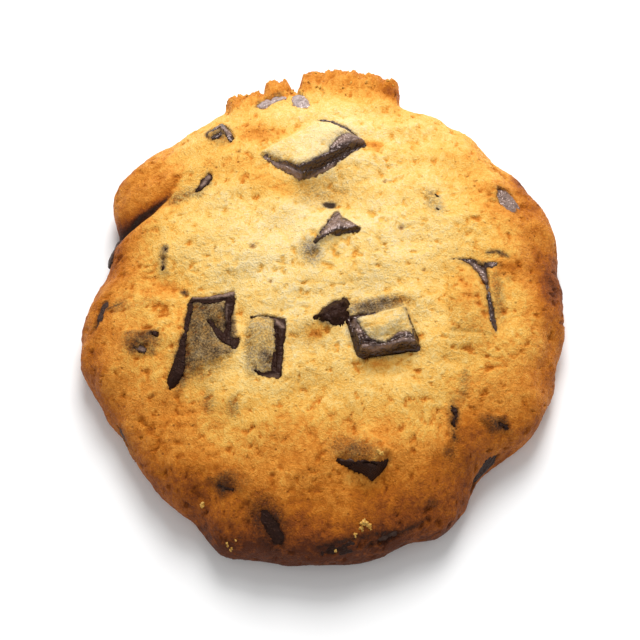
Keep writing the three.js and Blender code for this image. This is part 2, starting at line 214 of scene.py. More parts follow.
TOP_CHUNKS = (
    Chunk(
        "chunk_chevron", ((-11.2, 28.6), (-4.3, 24.4), (6.6, 31.4), (-0.4, 36.0)),
        rise=1.3, slope=(0.07, -0.22), foot=1.4, depth=4.6, crown=0.45, pale=0.14, film=0.10, fall=0.5,
        bare=(
            ((-11.0, 28.1, 0.25), (-7.9, 26.1, 0.55), (-4.5, 23.8, 0.85)),
            ((-4.3, 23.8, 0.95), (-0.4, 25.9, 1.15), (3.4, 28.5, 0.95), (7.0, 30.7, 0.6)),
            ((1.6, 28.9, 0.5), (3.4, 30.4, 1.2), (5.2, 31.2, 1.3), (6.9, 30.9, 0.6)),
            ((-1.8, 36.1, 0.05), (1.4, 35.6, 0.12), (4.0, 33.8, 0.2), (6.5, 32.2, 0.2)),
        ),
        ridges=(
            ((-10.6, 27.4, 0.4), (-7.6, 25.2, 0.4), (-4.6, 23.1, 0.5)),
            ((-4.0, 23.0, 0.4), (0.6, 25.3, 0.5), (2.4, 26.8, 0.3)),
            ((3.0, 30.4, 0.3), (5.0, 31.4, 0.4), (6.9, 31.2, 0.3)),
            (
                (-10.2, 27.8, -0.3), (-4.4, 24.1, -0.4), (-0.6, 25.7, -0.4), (3.0, 28.4, -0.4),
                (6.6, 30.2, -0.3),
            ),
        ),
        painted_light_marks=(
            ((-10.6, 27.6, 0.4), (-7.6, 25.5, 0.5), (-4.6, 23.4, 0.6)),
            ((1.6, 30.2, 0.8), (4.0, 31.8, 1.4), (6.6, 31.4, 0.6)),
            ((-3.0, 23.4, 0.1), (1.6, 26.2, 0.2)),
        ),
    ),
    Chunk(
        "chunk_peak", ((-1.3, 10.5), (2.2, 12.2), (5.9, 13.4), (2.5, 16.9)),
        rise=1.1, slope=(0.06, -0.24), foot=0.6, depth=3.4,
        bare=(
            ((-1.5, 10.4, 0.4), (0.5, 12.6, 1.1), (2.2, 15.1, 1.1), (2.3, 16.7, 0.3)),
            ((0.9, 12.4, 0.8), (3.5, 13.8, 1.3), (5.9, 13.3, 0.5)),
        ),
        ridges=(
            ((2.4, 16.2, 0.2), (2.9, 14.2, 0.35), (2.6, 12.8, 0.2)),
            ((2.6, 15.9, -0.4), (0.9, 14.3, -0.5), (-1.0, 11.2, -0.5)),
        ),
        painted_light_marks=(
            ((0.0, 12.0, 0.5), (1.8, 14.0, 1.0), (2.4, 15.8, 0.7)),
            ((2.0, 14.0, 0.8), (4.8, 13.8, 0.6)),
        ),
    ),
    Chunk(
        "chunk_slab", ((-23.5, 0.8), (-15.8, 1.1), (-15.0, -9.6), (-27.2, -15.4)),
        rise=0.3, slope=(0.02, 0.0), foot=0.5, depth=4.0, crown=0.2, film=0.80,
        bare=(
            ((-23.0, 0.3, 0.5), (-19.8, 0.1, 0.65), (-16.6, 0.9, 0.85), (-15.9, 2.0, 0.2)),
            ((-16.4, 0.4, 0.85), (-16.8, -3.6, 0.45), (-16.9, -6.6, 0.45)),
            (
                (-20.4, -3.6, 0.0), (-18.6, -5.6, 0.4), (-17.2, -7.4, 0.8), (-15.6, -8.5, 0.7),
                (-14.9, -7.4, 0.5),
            ),
            (
                (-23.5, 0.0, 0.2), (-24.1, -5.5, 0.25), (-24.8, -9.0, 0.5), (-25.6, -12.4, 1.15),
                (-26.5, -14.9, 0.9),
            ),
        ),
        ridges=(
            ((-23.0, 0.8, 0.4), (-19.6, 0.6, 0.3), (-16.0, 1.3, 0.5)),
            ((-15.9, 0.4, 0.3), (-16.4, -6.4, 0.25)),
            ((-22.6, 0.1, -0.3), (-17.4, 0.2, -0.4), (-17.4, -5.0, -0.3)),
        ),
        painted_light_marks=(
            ((-22.8, 0.9, 0.3), (-19.6, 0.6, 0.3), (-15.8, 1.4, 0.5)),
            ((-17.0, -1.0, 0.05), (-17.2, -4.0, 0.1)),
        ),
    ),
    Chunk(
        "chunk_square", ((-13.4, -3.1), (-6.5, -3.8), (-7.3, -14.5), (-13.1, -13.8)),
        rise=0.5, slope=(0.03, 0.0), foot=0.5, depth=4.0, crown=0.9, film=0.42,
        bare=(
            ((-12.6, -3.4, 0.05), (-10.8, -3.1, 0.15), (-8.8, -3.6, 0.3), (-7.4, -4.6, 0.6)),
            ((-7.6, -5.2, 0.95), (-7.9, -9.7, 0.7), (-8.2, -13.4, 0.75)),
            ((-12.2, -13.3, 0.1), (-10.7, -14.1, 0.3), (-7.9, -14.3, 0.5)),
        ),
        ridges=(
            ((-7.0, -4.8, 0.4), (-7.1, -9.0, 0.3), (-7.5, -13.8, 0.3)),
            ((-8.3, -6.0, -0.4), (-8.5, -13.0, -0.4)), ((-11.8, -14.2, 0.2), (-8.0, -14.5, 0.4)),
        ),
        painted_light_marks=(((-8.6, -4.2, 0.2), (-7.2, -5.6, 0.3)), ((-11.0, -14.4, 0.1), (-8.0, -14.6, 0.2))),
    ),
    Chunk(
        "chunk_block", ((5.0, -3.9), (14.2, -1.9), (15.9, -8.4), (6.6, -9.7)),
        rise=1.8, slope=(0.03, -0.06), foot=1.1, depth=4.6, crown=1.3, pale=0.10, film=0.16,
        bare=(
            ((4.7, -4.6, 1.0), (5.6, -7.4, 1.4), (6.9, -10.2, 1.2)),
            ((6.8, -9.2, 1.4), (10.6, -9.9, 1.2), (14.0, -8.2, 1.6), (15.9, -9.2, 0.9)),
            ((14.3, -2.4, 0.1), (15.2, -4.4, 0.2), (15.9, -7.0, 0.4), (16.3, -10.2, 0.4)),
            ((4.5, -3.9, 0.5), (6.6, -3.1, 0.5), (8.8, -2.7, 0.2)),
        ),
        ridges=(
            (
                (6.7, -9.8, 0.6), (8.6, -10.0, 0.6), (11.2, -9.4, 0.65), (13.6, -8.6, 0.7),
                (15.8, -8.7, 0.5),
            ),
            ((4.4, -4.8, 0.4), (5.4, -6.8, 0.5), (5.8, -9.2, 0.5)),
            ((7.2, -8.6, -0.5), (10.4, -8.7, -0.6), (13.6, -7.3, -0.5)),
            ((7.4, -10.9, -0.4), (10.6, -10.5, -0.4), (15.0, -9.8, -0.4)),
            ((4.6, -5.4, -0.4), (5.8, -6.0, -0.4)), ((4.9, -7.0, -0.4), (6.6, -7.4, -0.4)),
            ((5.4, -8.4, -0.3), (6.8, -8.9, -0.4)), ((5.3, -5.0, -0.3), (6.3, -8.4, -0.3)),
        ),
        painted_light_marks=(
            (
                (6.6, -9.6, 0.25), (8.6, -9.8, 0.2), (11.2, -9.2, 0.2), (13.6, -8.3, 0.25),
                (15.4, -8.4, 0.2),
            ),
            ((5.2, -4.8, 0.4), (6.2, -7.0, 0.4)), ((10.0, -8.4, 0.1), (14.6, -6.4, 0.3)),
        ),
    ),
    Chunk(
        "chunk_blob", ((-1.6, -3.6), (0.7, -5.7), (3.6, -4.6), (4.1, 0.3)),
        rise=0.5, foot=0.6, depth=3.0, film=0.90, ragged=2.2,
        bare=(
            ((-1.3, -3.6, 0.5), (0.6, -2.7, 1.2), (2.4, -1.6, 1.3), (3.8, -0.6, 0.7)),
            ((-0.2, -4.2, 0.7), (1.8, -4.0, 1.1), (3.4, -2.9, 1.3), (5.0, -3.8, 0.7)),
        ),
        ridges=(
            ((-0.6, -3.8, 0.6), (-0.4, -3.6, 0.6)), ((1.2, -2.2, 0.7), (1.4, -2.0, 0.7)),
            ((2.0, -3.6, 0.6), (2.2, -3.4, 0.6)), ((3.2, -1.2, 0.7), (3.4, -1.0, 0.7)),
        ),
    ),
    Chunk(
        "chunk_wedge", ((2.4, -28.0), (7.9, -30.6), (11.3, -27.3), (7.0, -23.2)),
        rise=1.3, slope=(0.05, -0.27), foot=1.4, depth=4.2, crown=0.7, pale=0.06, film=0.22,
        bare=(
            (
                (2.2, -29.0, 0.2), (4.8, -30.1, 0.5), (8.2, -31.0, 1.1), (9.8, -29.9, 0.7),
                (11.2, -28.6, 0.2),
            ),
        ),
        ridges=(
            ((3.6, -29.3, 0.4), (6.4, -29.7, 0.4), (8.8, -29.6, 0.3)),
            ((5.0, -30.2, 0.4), (8.8, -30.5, 0.4)), ((4.2, -29.8, -0.3), (8.8, -30.0, -0.4)),
        ),
        painted_light_marks=(((3.0, -28.9, 0.05), (5.0, -29.3, 0.15), (6.4, -29.4, 0.05)),),
    ),
    Chunk(
        "chunk_fold", ((21.5, 8.0), (31.4, 8.2), (30.1, -6.1), (22.0, -5.7)),
        rise=0.3, foot=0.9, depth=3.6, crown=0.7, film=0.08,
        bare=(
            ((22.4, 7.9, 0.05), (24.4, 7.8, 0.15), (26.6, 7.4, 0.4)),
            ((26.0, 7.2, 0.2), (27.8, 6.3, 0.9), (28.7, 4.0, 0.35)),
            ((28.6, 7.0, 0.6), (30.4, 7.5, 0.25)),
            (
                (28.6, 4.6, 0.35), (28.9, 2.2, 0.2), (29.3, -0.8, 0.34), (29.7, -3.4, 0.25),
                (30.2, -5.6, 0.0),
            ),
            ((31.8, 5.8, 0.1), (32.9, 4.8, 0.3)),
        ),
        ridges=(
            ((26.2, 6.8, 0.4), (28.4, 5.2, 0.4)),
            ((26.6, 7.6, -0.3), (29.0, 6.8, -0.5), (28.9, 0.0, -0.2)),
        ),
        painted_light_marks=(
            ((24.6, 7.2, 0.1), (26.6, 6.4, 0.6), (28.4, 4.4, 0.5)),
            ((29.4, 7.4, 0.2), (30.4, 7.0, 0.2)),
        ),
    ),
    Chunk(
        "chunk_speckled", ((-35.3, -4.9), (-28.9, -4.8), (-29.5, -9.5), (-34.0, -9.2)),
        foot=0.2, depth=3.0, crown=0.1, film=0.66, ragged=2.2,
        bare=(((-30.1, -5.7, 0.35), (-29.4, -5.7, 0.45)), ((-33.0, -8.2, 0.2), (-31.6, -8.6, 0.4))),
        painted_light_marks=(((-33.0, -8.2, 0.1), (-31.6, -8.6, 0.3)),),
    ),
    Chunk(
        "chunk_arc", ((-21.7, 33.7), (-18.8, 36.8), (-16.4, 31.7), (-19.6, 30.8)),
        rise=0.4, foot=0.4, depth=2.8, crown=0.3, film=0.36, ragged=1.4,
        bare=(
            ((-20.6, 34.8, 0.3), (-18.9, 35.8, 0.7), (-17.4, 34.2, 0.7), (-16.9, 32.2, 0.3)),
            ((-20.2, 32.6, 0.3), (-18.9, 33.6, 0.6)),
        ),
        ridges=(((-18.4, 35.6, 0.3), (-17.2, 33.4, 0.3)),),
        painted_light_marks=(((-19.6, 35.6, 0.3), (-17.2, 33.6, 0.5)),),
    ),
    Chunk(
        "chunk_oval", ((-24.0, 21.6), (-21.0, 25.4), (-19.9, 23.1), (-22.2, 20.1)),
        rise=0.4, foot=0.3, depth=2.8, film=0.50,
        bare=(((-22.6, 22.0, 0.4), (-21.3, 23.5, 0.8), (-20.4, 24.8, 0.3)),),
        ridges=(((-21.8, 23.4, 0.3), (-20.6, 24.4, 0.3)),),
        painted_light_marks=(((-22.0, 22.6, 0.2), (-20.8, 24.2, 0.3)),),
    ),
    Chunk(
        "chunk_streak", ((-29.3, 5.9), (-29.0, 11.2), (-27.7, 11.2), (-27.5, 5.9)),
        depth=2.4,
        bare=(((-28.5, 6.4, 0.35), (-28.5, 8.2, 0.1)), ((-28.2, 9.9, 0.15), (-28.1, 9.8, 0.15))),
    ),
    Chunk(
        "chunk_crumbly", ((21.0, -18.8), (23.3, -18.5), (23.7, -24.9), (21.4, -25.5)),
        depth=2.4, film=0.35, ragged=0.8,
        bare=(
            ((21.9, -18.4, 0.05), (22.4, -19.6, 0.34), (22.9, -20.6, 0.1)),
            ((22.9, -20.6, 0.1), (22.3, -21.9, 0.24)), ((22.3, -21.9, 0.24), (22.8, -22.8, 0.05)),
            ((22.2, -23.2, 0.0), (22.5, -24.4, 0.14)),
        ),
    ),
    Chunk(
        "chunk_lens", ((27.2, -20.8), (31.6, -19.6), (33.0, -21.9), (28.8, -22.9)),
        crown=0.2, film=0.72, ragged=2.0,
        bare=(((30.6, -21.3, 0.1), (31.8, -21.6, 0.2)),),
    ),
    Chunk(
        "chunk_stain", ((-20.2, -31.3), (-15.9, -29.8), (-13.0, -33.5), (-17.6, -34.8)),
        rise=0.3, foot=0.2, depth=3.0, crown=0.3, film=0.50, ragged=0.5,
        bare=(((-18.2, -32.6, 0.0), (-17.0, -33.3, 0.12), (-15.6, -33.6, 0.0)),),
    ),
    Chunk(
        "chunk_slit", ((17.9, 21.2), (20.8, 20.4), (21.5, 16.8), (19.1, 16.7)),
        crown=0.2,
        bare=(
            ((18.5, 21.2, 0.0), (19.5, 20.7, 0.1), (20.4, 20.0, 0.0)),
            ((20.0, 17.6, 0.1), (20.3, 17.2, 0.15)),
        ),
    ),
)

RIM_CHUNKS = (
    RimChunk("rim_dark_slab", -102.6, 10.6, (8.2, 3.2, 3.2), -48, 0.05, 0.0, 4.0, 1.35, 0.0),
    RimChunk("rim_band_left", -87.4, 8.6, (7.6, 2.6, 3.0), 8, 0.15, -0.4, 2.5, 0.28, 0.0),
    RimChunk("rim_band_right", -72.5, 8.4, (12.0, 2.4, 3.0), 4, 0.2, -2.2, 3.8, 0.42, 0.3),
    RimChunk("rim_notch", -45.5, 5.6, (8.2, 4.2, 3.4), 4, 0.5, 0.0, 4.1, 1.5, 0.0),
    RimChunk("rim_strip", 161.8, 6.6, (5.2, 2.2, 2.6), 0, 0.3, 0.0, 2.6, 0.9, 0.15),
    RimChunk("rim_streak", -178.6, 10.2, (5.6, 1.6, 2.4), -28, 0.3, 0.0, 2.8, 0.6, 0.2),
    RimChunk("rim_low", -148.6, 5.6, (4.8, 2.2, 2.6), 0, 0.3, 0.0, 2.4, 0.6, 0.1),
    RimChunk("rim_shard", 103.4, 9.2, (6.4, 2.6, 2.6), 24, 0.3, 0.2, 3.0, 0.6, 1.0),
    RimChunk("rim_tooth", 96.0, 10.2, (2.8, 5.4, 3.0), 8, 0.6, 0.0, 1.2, 2.4, 1.0),
    RimChunk("rim_nugget", 32.4, 11.4, (7.0, 4.0, 3.6), 4, 0.4, 0.0, 2.8, 1.5, 1.0),
)
RIM_BEND = 36.0
RIM_TAPER = 0.12
RIM_SUNK = 0.45
RIM_ROUGH = 0.22
RIM_BLOCK = (36, 7.0)
WINDOW_DEPTH = 0.9
WINDOW_TORN = 0.42

GLOSSY = ("chunk_chevron", "chunk_peak", "chunk_block", "chunk_arc", "chunk_fold", "rim_nugget")
# Rim chunks whose chocolate gets a near-white painted highlight of the key light
PAINTED_HIGHLIGHT_CHUNKS = ("rim_shard", "rim_tooth")

# Places where chocolate tints the dough: (x, y, reach x, reach y, turn, strength)
STAINS = (
    # The first two paint shade: the shadow of the chevron chunk over the hollow in front of it, and the
    # dark hole under its near corner
    (-0.4, 20.6, 5.6, 3.0, 12, 0.34), (0.9, 18.8, 1.2, 0.8, 0, 2.0), (-2.3, 8.8, 1.9, 2.8, 20, 0.62),
    (-3.6, -6.8, 4.0, 3.6, 0, 0.24), (9.2, -1.2, 5.8, 1.7, 8, 0.85), (5.0, -27.4, 4.6, 2.6, -18, 0.66),
    (30.7, 1.4, 1.4, 5.2, 5, 0.45), (29.9, -21.3, 2.9, 1.35, -15, 0.92),
    (-20.0, -18.3, 1.5, 2.2, 0, 0.42), (-15.7, -19.6, 1.2, 2.0, 0, 0.45),
    (-16.2, -32.0, 3.4, 2.0, -12, 0.66), (24.2, -15.4, 1.0, 3.4, -10, 0.45),
    (22.4, -21.6, 1.2, 4.4, 0, 0.6), (21.7, -27.0, 1.5, 1.4, 0, 0.55),
    (-25.4, 21.0, 3.2, 1.5, 25, 0.55), (19.9, 18.4, 1.6, 2.4, 30, 0.42),
    (-20.0, -3.2, 3.6, 3.4, 0, 0.84), (-18.6, -5.4, 1.6, 2.0, 40, 0.98),
    (-21.6, -10.2, 4.8, 4.6, -20, 0.60), (-24.6, -12.4, 1.8, 3.4, -15, 0.92),
    (-12.6, -9.0, 1.5, 4.8, 0, 0.55), (-9.9, -11.6, 2.0, 2.6, 15, 0.80),
    (-31.9, -7.0, 3.4, 2.1, 0, 0.82), (-18.8, 33.8, 2.3, 2.1, 20, 0.62),
    (-28.6, 8.4, 0.9, 2.6, 0, 0.50), (-24.6, 1.9, 0.9, 0.6, -30, 0.95), (3.4, 31.0, 3.0, 1.1, 30, 0.50),
    (-36.6, 0.2, 2.2, 1.2, 30, 0.45), (-33.0, 0.0, 4.0, 0.9, 12, 0.22), (27.4, 7.2, 4.4, 0.8, 0, 0.6),
    (-34.6, -23.6, 1.2, 4.0, 30, 0.4), (18.6, -35.4, 1.2, 0.9, 0, 0.7),
    (-9.6, -38.6, 3.0, 4.8, 30, 0.75), (15.0, -33.0, 3.6, 1.4, 20, 0.25),
    # The last two only darken the dough a little on the right
    (25.0, -4.0, 5.0, 6.0, 0, 0.12), (23.0, -27.0, 6.0, 5.0, 0, 0.14),
)
# Thin smears of chocolate in the dough: strokes of (x, y, half width)
SMEARS = (
    ((-1.4, -42.6, 0.05), (3.6, -41.6, 0.2), (8.3, -40.7, 0.1), (13.1, -39.6, 0.1), (17.6, -37.9, 0.0)),
    # The second paints the shade in the split beside the lobe, in the smear's colour
    (
        (-40.0, 15.2, 0.45), (-35.4, 16.9, 0.5), (-32.0, 18.4, 0.4), (-29.4, 20.0, 0.2),
        (-27.6, 21.8, 0.05),
    ),
    ((29.2, 9.6, 0.1), (31.0, 9.5, 0.3), (32.6, 9.0, 0.15)), ((-38.5, -0.2, 0.2), (-36.0, 0.6, 0.1)),
    ((-20.8, 34.8, 0.2), (-21.4, 33.4, 0.3), (-20.4, 32.0, 0.1)),
)
# Places that are browner than their surroundings, or paler: (x, y, reach x, reach y, strength)
BROWNED = (
    # The second is painted shadow of the chevron chunk over the hollow in front of it
    (-7.6, 21.2, 3.2, 2.0, 0.26), (0.2, 21.0, 5.4, 2.8, 0.20), (-36.0, 9.0, 6.0, 8.0, 0.12),
    (24.5, 1.0, 4.5, 4.5, 0.12), (37.0, 19.0, 5.0, 5.0, 0.12), (-3.0, -26.0, 10.0, 5.0, 0.06),
    (-11.0, 33.0, 4.6, 1.8, 0.30), (-27.4, 3.0, 3.8, 2.0, 0.26), (9.2, -11.6, 2.2, 1.1, 0.30),
    (-1.4, -6.6, 1.6, 1.1, 0.45), (33.0, 6.8, 2.2, 1.6, 0.24), (40.5, 6.0, 3.2, 6.0, 0.34),
    (38.0, 12.0, 4.0, 9.0, 0.08), (-37.0, 9.0, 5.0, 9.0, 0.12), (-13.0, 25.0, 5.0, 3.6, 0.22),
    (26.0, -24.0, 5.0, 5.0, 0.08), (18.0, -16.0, 5.0, 6.0, -0.07), (-28.0, 26.0, 9.0, 7.0, 0.08),
    (27.0, 22.0, 7.0, 6.0, 0.08), (-34.0, 22.0, 7.0, 7.0, 0.12), (8.0, 35.0, 14.0, 5.0, -0.14),
    # At (12.6, 43.6) the hollow in the broken ledge is darkened: browning with painted shade
    (9.0, -5.0, 1.6, 1.2, 0.2), (12.6, 43.6, 2.6, 1.6, 0.26), (-24.9, -8.0, 1.0, 6.0, 0.10),
    (9.2, 30.6, 2.0, 1.3, 0.5), (35.8, 25.8, 1.8, 2.2, 0.3), (-8.5, 3.0, 8.0, 8.0, -0.04),
    (0.0, -43.0, 16.0, 3.0, 0.10), (25.5, -4.0, 5.0, 6.0, 0.04), (23.0, -27.5, 5.0, 4.0, 0.06),
)
# Larger pores: (x, y, radius)
PORES = (
    (-8.9, -31.4, 0.75), (13.7, 13.5, 0.8), (10.9, 23.1, 0.6), (-13.2, -28.3, 0.45), (-19.3, 9.8, 0.4),
    (19.4, -31.9, 0.6), (12.3, -35.2, 0.45), (18.2, -36.4, 0.6), (-12.6, 9.6, 0.9), (-9.4, 3.0, 0.5),
    (-29.9, -16.6, 0.6), (27.4, 24.2, 0.5), (-22.6, -22.4, 0.4), (17.6, 5.6, 0.5), (-15.4, 29.2, 0.6),
)
BAKE_REACH = 43.0
LEDGE_BAKE = 0.64
LOBE_BAKE_AND_SHADE = 0.62
# Painted shade: the crust's hollows are coloured darker and warmer, drawn as extra bake
CAVITY_SHADE = 0.60
UNDERSIDE_BAKE = 0.72

# Places where a few crumbs lie together: (x, y, size); more are strewn on the broken ledge
CRUMBS = (
    (-21.2, -35.0, 0.55), (7.0, -39.0, 0.6), (7.8, -39.6, 0.5), (6.4, -39.8, 0.4), (9.6, -28.2, 0.45),
    (5.5, -41.0, 0.35), (-16.6, -42.0, 0.3), (-16.0, -42.6, 0.25), (-15.2, -41.4, 0.2),
    (2.0, -43.4, 0.3),
)
CRUMB_SEED = 7
CRUMB_CLUSTER = 5
CRUMB_SCATTER = 0.55
CRUMB_SHRINK = (0.25, 0.8)
CRUMB_STRETCH = (0.7, 1.2)
CRUMB_BALL = (5, 2.4)
LUMP_SEED = 15
STREWN = 30
STREWN_ANGLES = (74, 112)
STREWN_HEIGHTS = (7.0, 9.6)
STREWN_SIZES = (0.12, 0.28)
SINGLE_BAKE = 0.36
STREWN_BAKE = 0.46

# Noise in the materials: (scale for each millimetre, detail, and roughness where it isn't a half)
COARSE_GRAIN = (0.9, 4.0, 0.65)
POWDER_GRAIN = (3.4, 3.0, 0.75)
MOTTLE = (0.75, 3.0, 0.6)
SPECKLE = (2.8, 4.0, 0.8)
PORE_PATCHES = (0.4, 1.0)
BLOOM_AND_LIGHT_PATCHES = (1.3, 4.0, 0.7)
DUST_SPECKS = (3.0, 2.0, 0.6)
GLOSS_PATCHES = (1.4, 3.0)
MELT_RIDGES = (0.9, 3.0, 0.6)
MELT_FOLDS = (0.65, 2.0)
MELT_GRAIN = (5.0, 2.0, 0.6)
LUMP_BEND = 0.9
LUMP_SCALE = 2.1
PORE_SCALE = 0.75
CRUST_ROUGHNESS = 0.58
CRUST_SPECULAR = 0.16
CRUST_BUMP = 0.55
CHOCOLATE_BUMP = 0.30
CHOCOLATE_GLINT = (1.0, 0.80, 0.75, 1.0)
# Finishes of chocolate: (least and most roughness, specular level, colour of its bloom and painted light)
FINISHES = {
    "pale_chocolate": (0.12, 0.30, 0.85, "painted_rim_highlight"),
    "dark_chocolate": (0.12, 0.30, 0.85, "bloom_and_painted_light"),
    "dull_chocolate": (0.35, 0.60, 0.12, "bloom_and_painted_light"),
}

# The studio, in metres. Lights: (size, place)
KEY_LIGHT = (0.22, (0.03, 0.31, 0.34))
GLINT_LIGHT = (0.07, (0.01, 0.14, 0.36))
FILL_LIGHT = (0.5, (-0.25, -0.35, 0.4))
LIT_POINT = (0.0, 0.0, 0.008)
LOOK_HEIGHT = 0.005
CAMERA_CLIP = 0.01
FLOOR_REACH = 1.5
FLOOR_GAP = 0.00005
FLOOR_SIDE = 5
FLOOR_ROUGHNESS = 0.9
FLOOR_SPECULAR = 0.1
# The camera's lens and sensor, and how far from the cookie's middle it looks, in millimetres
CAMERA_LENS = 120.0
CAMERA_SENSOR = 36.0
LOOK_SHIFT = (-0.72, 0.09)


def length(name, description, default, low=0.0):
    """A length in metres."""
    return bpy.props.FloatProperty(
        name=name, description=description, default=default, min=low, subtype="DISTANCE", unit="LENGTH",
    )


def tint(name, description, default):
    """A colour, in linear light."""
    return bpy.props.FloatVectorProperty(
        name=name, description=description, default=default, size=3, min=0.0, max=1.0, subtype="COLOR",
    )


def wattage(name, description, default):
    """The power of a light."""
    return bpy.props.FloatProperty(
        name=name, description=description, default=default, min=0.0, unit="POWER",
    )


class CookieShape(bpy.types.PropertyGroup):
    """Sizes of the baked cookie."""

    mean_radius: length("Mean radius", "Radius of the outline before its bulges", 0.0436, 0.01)
    height: length("Height", "Height of the dome at its crown", 0.0165, 0.004)
    skirt_height: length("Skirt height", "Height of the widest line of the side", 0.0035, 0.001)
    foot_tuck: length("Foot tuck", "How far the side turns in below its widest line", 0.002)
    dome_power: bpy.props.FloatProperty(
        name="Dome fullness", description="Power of the superellipse that the dome follows",
        default=2.5, min=1.5, max=6.0,
    )
    skin: length("Dough skin", "Thickness of the dough that covers part of a chunk", 0.00045, 0.0001)
    grid: bpy.props.IntProperty(
        name="Grid", description="Cells along one side of the grid that makes the crust",
        default=296, min=40, max=300,
    )


class CookieColours(bpy.types.PropertyGroup):
    """Colours of the crust, the chocolate and the studio."""

    cream: tint("Cream", "Dough in the pale middle", (0.89, 0.705, 0.37))
    straw: tint("Straw", "Dough around the pale middle", (0.90, 0.60, 0.19))
    gold: tint("Gold", "Dough between the middle and the rim", (0.85, 0.455, 0.085))
    amber: tint("Amber", "Crust near the rim", (0.74, 0.280, 0.034))
    russet: tint("Russet", "Crust on the shoulder of the rim", (0.50, 0.142, 0.006))
    # Brown is also painted on the floors of pores, a painted shade in the pits
    brown: tint("Brown", "Crust on the side, and the floors of pores", (0.28, 0.066, 0.004))
    # Dark brown also carries the painted shade of the split
    dark: tint("Dark brown", "Crust at the foot and in the split", (0.10, 0.021, 0.003))
    stain: tint("Chocolate tint", "What a chocolate tint leaves of the dough's colour", (0.33, 0.335, 0.50))
    # The smear's colour is also painted as the shade in the split
    smear: tint("Chocolate smear", "Chocolate spread thin on the dough", (0.032, 0.016, 0.010))
    chocolate: tint("Chocolate", "Bare chocolate", (0.025, 0.0098, 0.0064))
    # Bloom here is partly painted light: faces lit by the key light and ridge highlights are painted in
    # this colour
    bloom_and_painted_light: tint("Bloom", "Greyish bloom on some of the chocolate", (0.29, 0.190, 0.152))
    # Painted highlight: the key light's reflection on the chunks in the back rim
    painted_rim_highlight: tint("Sheen", "Lit chocolate in the back rim", (0.52, 0.41, 0.39))
    dust: tint("Crumb dust", "Specks of dough on the chocolate", (0.24, 0.12, 0.045))
    floor: tint("Floor", "Floor of the studio", (0.94, 0.94, 0.94))


class CookieStudio(bpy.types.PropertyGroup):
    """Light and camera of the studio."""

    key_power: wattage("Key light", "Power of the large light behind the cookie", 2.15)
    fill_power: wattage("Fill light", "Power of the light in front of the cookie", 0.17)
    glint_power: wattage("Glint light", "Power of the small light that level chocolate mirrors", 0.16)
    sky: bpy.props.FloatProperty(
        name="Sky", description="Strength of the even light from all around", default=0.52, min=0.0,
    )
    elevation: bpy.props.FloatProperty(
        name="Camera elevation", description="Angle of the camera above the floor",
        default=math.radians(70.0), subtype="ANGLE", unit="ROTATION",
    )
    distance: length("Camera distance", "Distance of the camera from the cookie", 0.384, 0.05)


def smooth(values, low, high):
    """0 below low, 1 above high, with a soft S between."""
    share = np.clip((values - low) / (high - low), 0.0, 1.0)
    return share * share * (3.0 - 2.0 * share)


def soft_max(a, b, width):
    """The larger of two arrays, rounded over width where they cross."""
    mix = np.clip(0.5 + 0.5 * (a - b) / width, 0.0, 1.0)
    return b + (a - b) * mix + width * mix * (1.0 - mix)


def bell(x, y, at_x, at_y, reach_x, reach_y):
    """1 at a place in plan, falling off around it with its own reach along x and along y."""
    return np.exp(-((x - at_x) / reach_x) ** 2 - ((y - at_y) / reach_y) ** 2)


def at_places(x, y, z=0.0):
    """Stacks coordinates into one array of points."""
    return np.stack(np.broadcast_arrays(x, y, z), axis=-1).astype(float)


def gradient_noise(points, seed):
    """Smooth noise from about -1 to 1: random slopes at the corners of unit cells, blended."""
    rng = np.random.default_rng(seed)
    table = rng.permutation(256)
    slopes = rng.normal(size=(256, 3))
    slopes /= np.linalg.norm(slopes, axis=1, keepdims=True)
    cell = np.floor(points).astype(np.int64)
    inside = points - cell
    blend = inside ** 3 * (inside * (inside * 6.0 - 15.0) + 10.0)
    total = np.zeros(points.shape[:-1])
    for corner in np.ndindex(2, 2, 2):
        at = (cell + corner) & 255
        slot = table[(table[(table[at[..., 0]] + at[..., 1]) & 255] + at[..., 2]) & 255]
        toward = ((inside - corner) * slopes[slot]).sum(-1)
        weight = np.where(np.array(corner) == 1, blend, 1.0 - blend).prod(-1)
        total += toward * weight
    return total * NOISE_GAIN


def layered_noise(points, size, layers, seed, gain=0.5):
    """Sum of gradient noises, each half the size of the last and gain times as strong."""
    total = np.zeros(points.shape[:-1])
    strength = 1.0
    for layer in range(layers):
        total += strength * gradient_noise(points * (2.0 ** layer / size), seed + layer)
        strength *= gain
    return total


def plan_noise(x, y, reach_x, reach_y, level, seed):
    """Gradient noise over the plan, with its own reach along x and along y."""
    return gradient_noise(at_places(x / reach_x, y / reach_y, level), seed)


def near_leg(x, y, start, end):
    """Where along a straight leg it is nearest to a place, from 0 to 1, and how far away it is."""
    (ax, ay), (bx, by) = start[:2], end[:2]
    dx, dy = bx - ax, by - ay
    share = np.clip(((x - ax) * dx + (y - ay) * dy) / (dx * dx + dy * dy), 0.0, 1.0)
    return share, np.hypot(x - ax - dx * share, y - ay - dy * share)


def outline_distance(x, y, outline):
    """Distance from a closed outline of straight sides: positive inside, negative outside."""
    nearest = np.full(np.shape(x), np.inf)
    inside = np.zeros(np.shape(x), bool)
    for start, end in zip(outline, outline[1:] + outline[:1]):
        _, away = near_leg(x, y, start, end)
        nearest = np.minimum(nearest, away)
        (ax, ay), (bx, by) = start, end
        climb = (by - ay) or TINY
        inside ^= ((ay > y) != (by > y)) & (x < ax + (bx - ax) * (y - ay) / climb)
    return np.where(inside, nearest, -nearest)


def stroke_depth(x, y, strokes):
    """How deep a place lies inside brush strokes of changing half width; negative outside."""
    depth = np.full(np.shape(x), -np.inf)
    for stroke in strokes:
        for start, end in zip(stroke, stroke[1:]):
            share, away = near_leg(x, y, start, end)
            depth = np.maximum(depth, start[2] + (end[2] - start[2]) * share - away)
    return depth


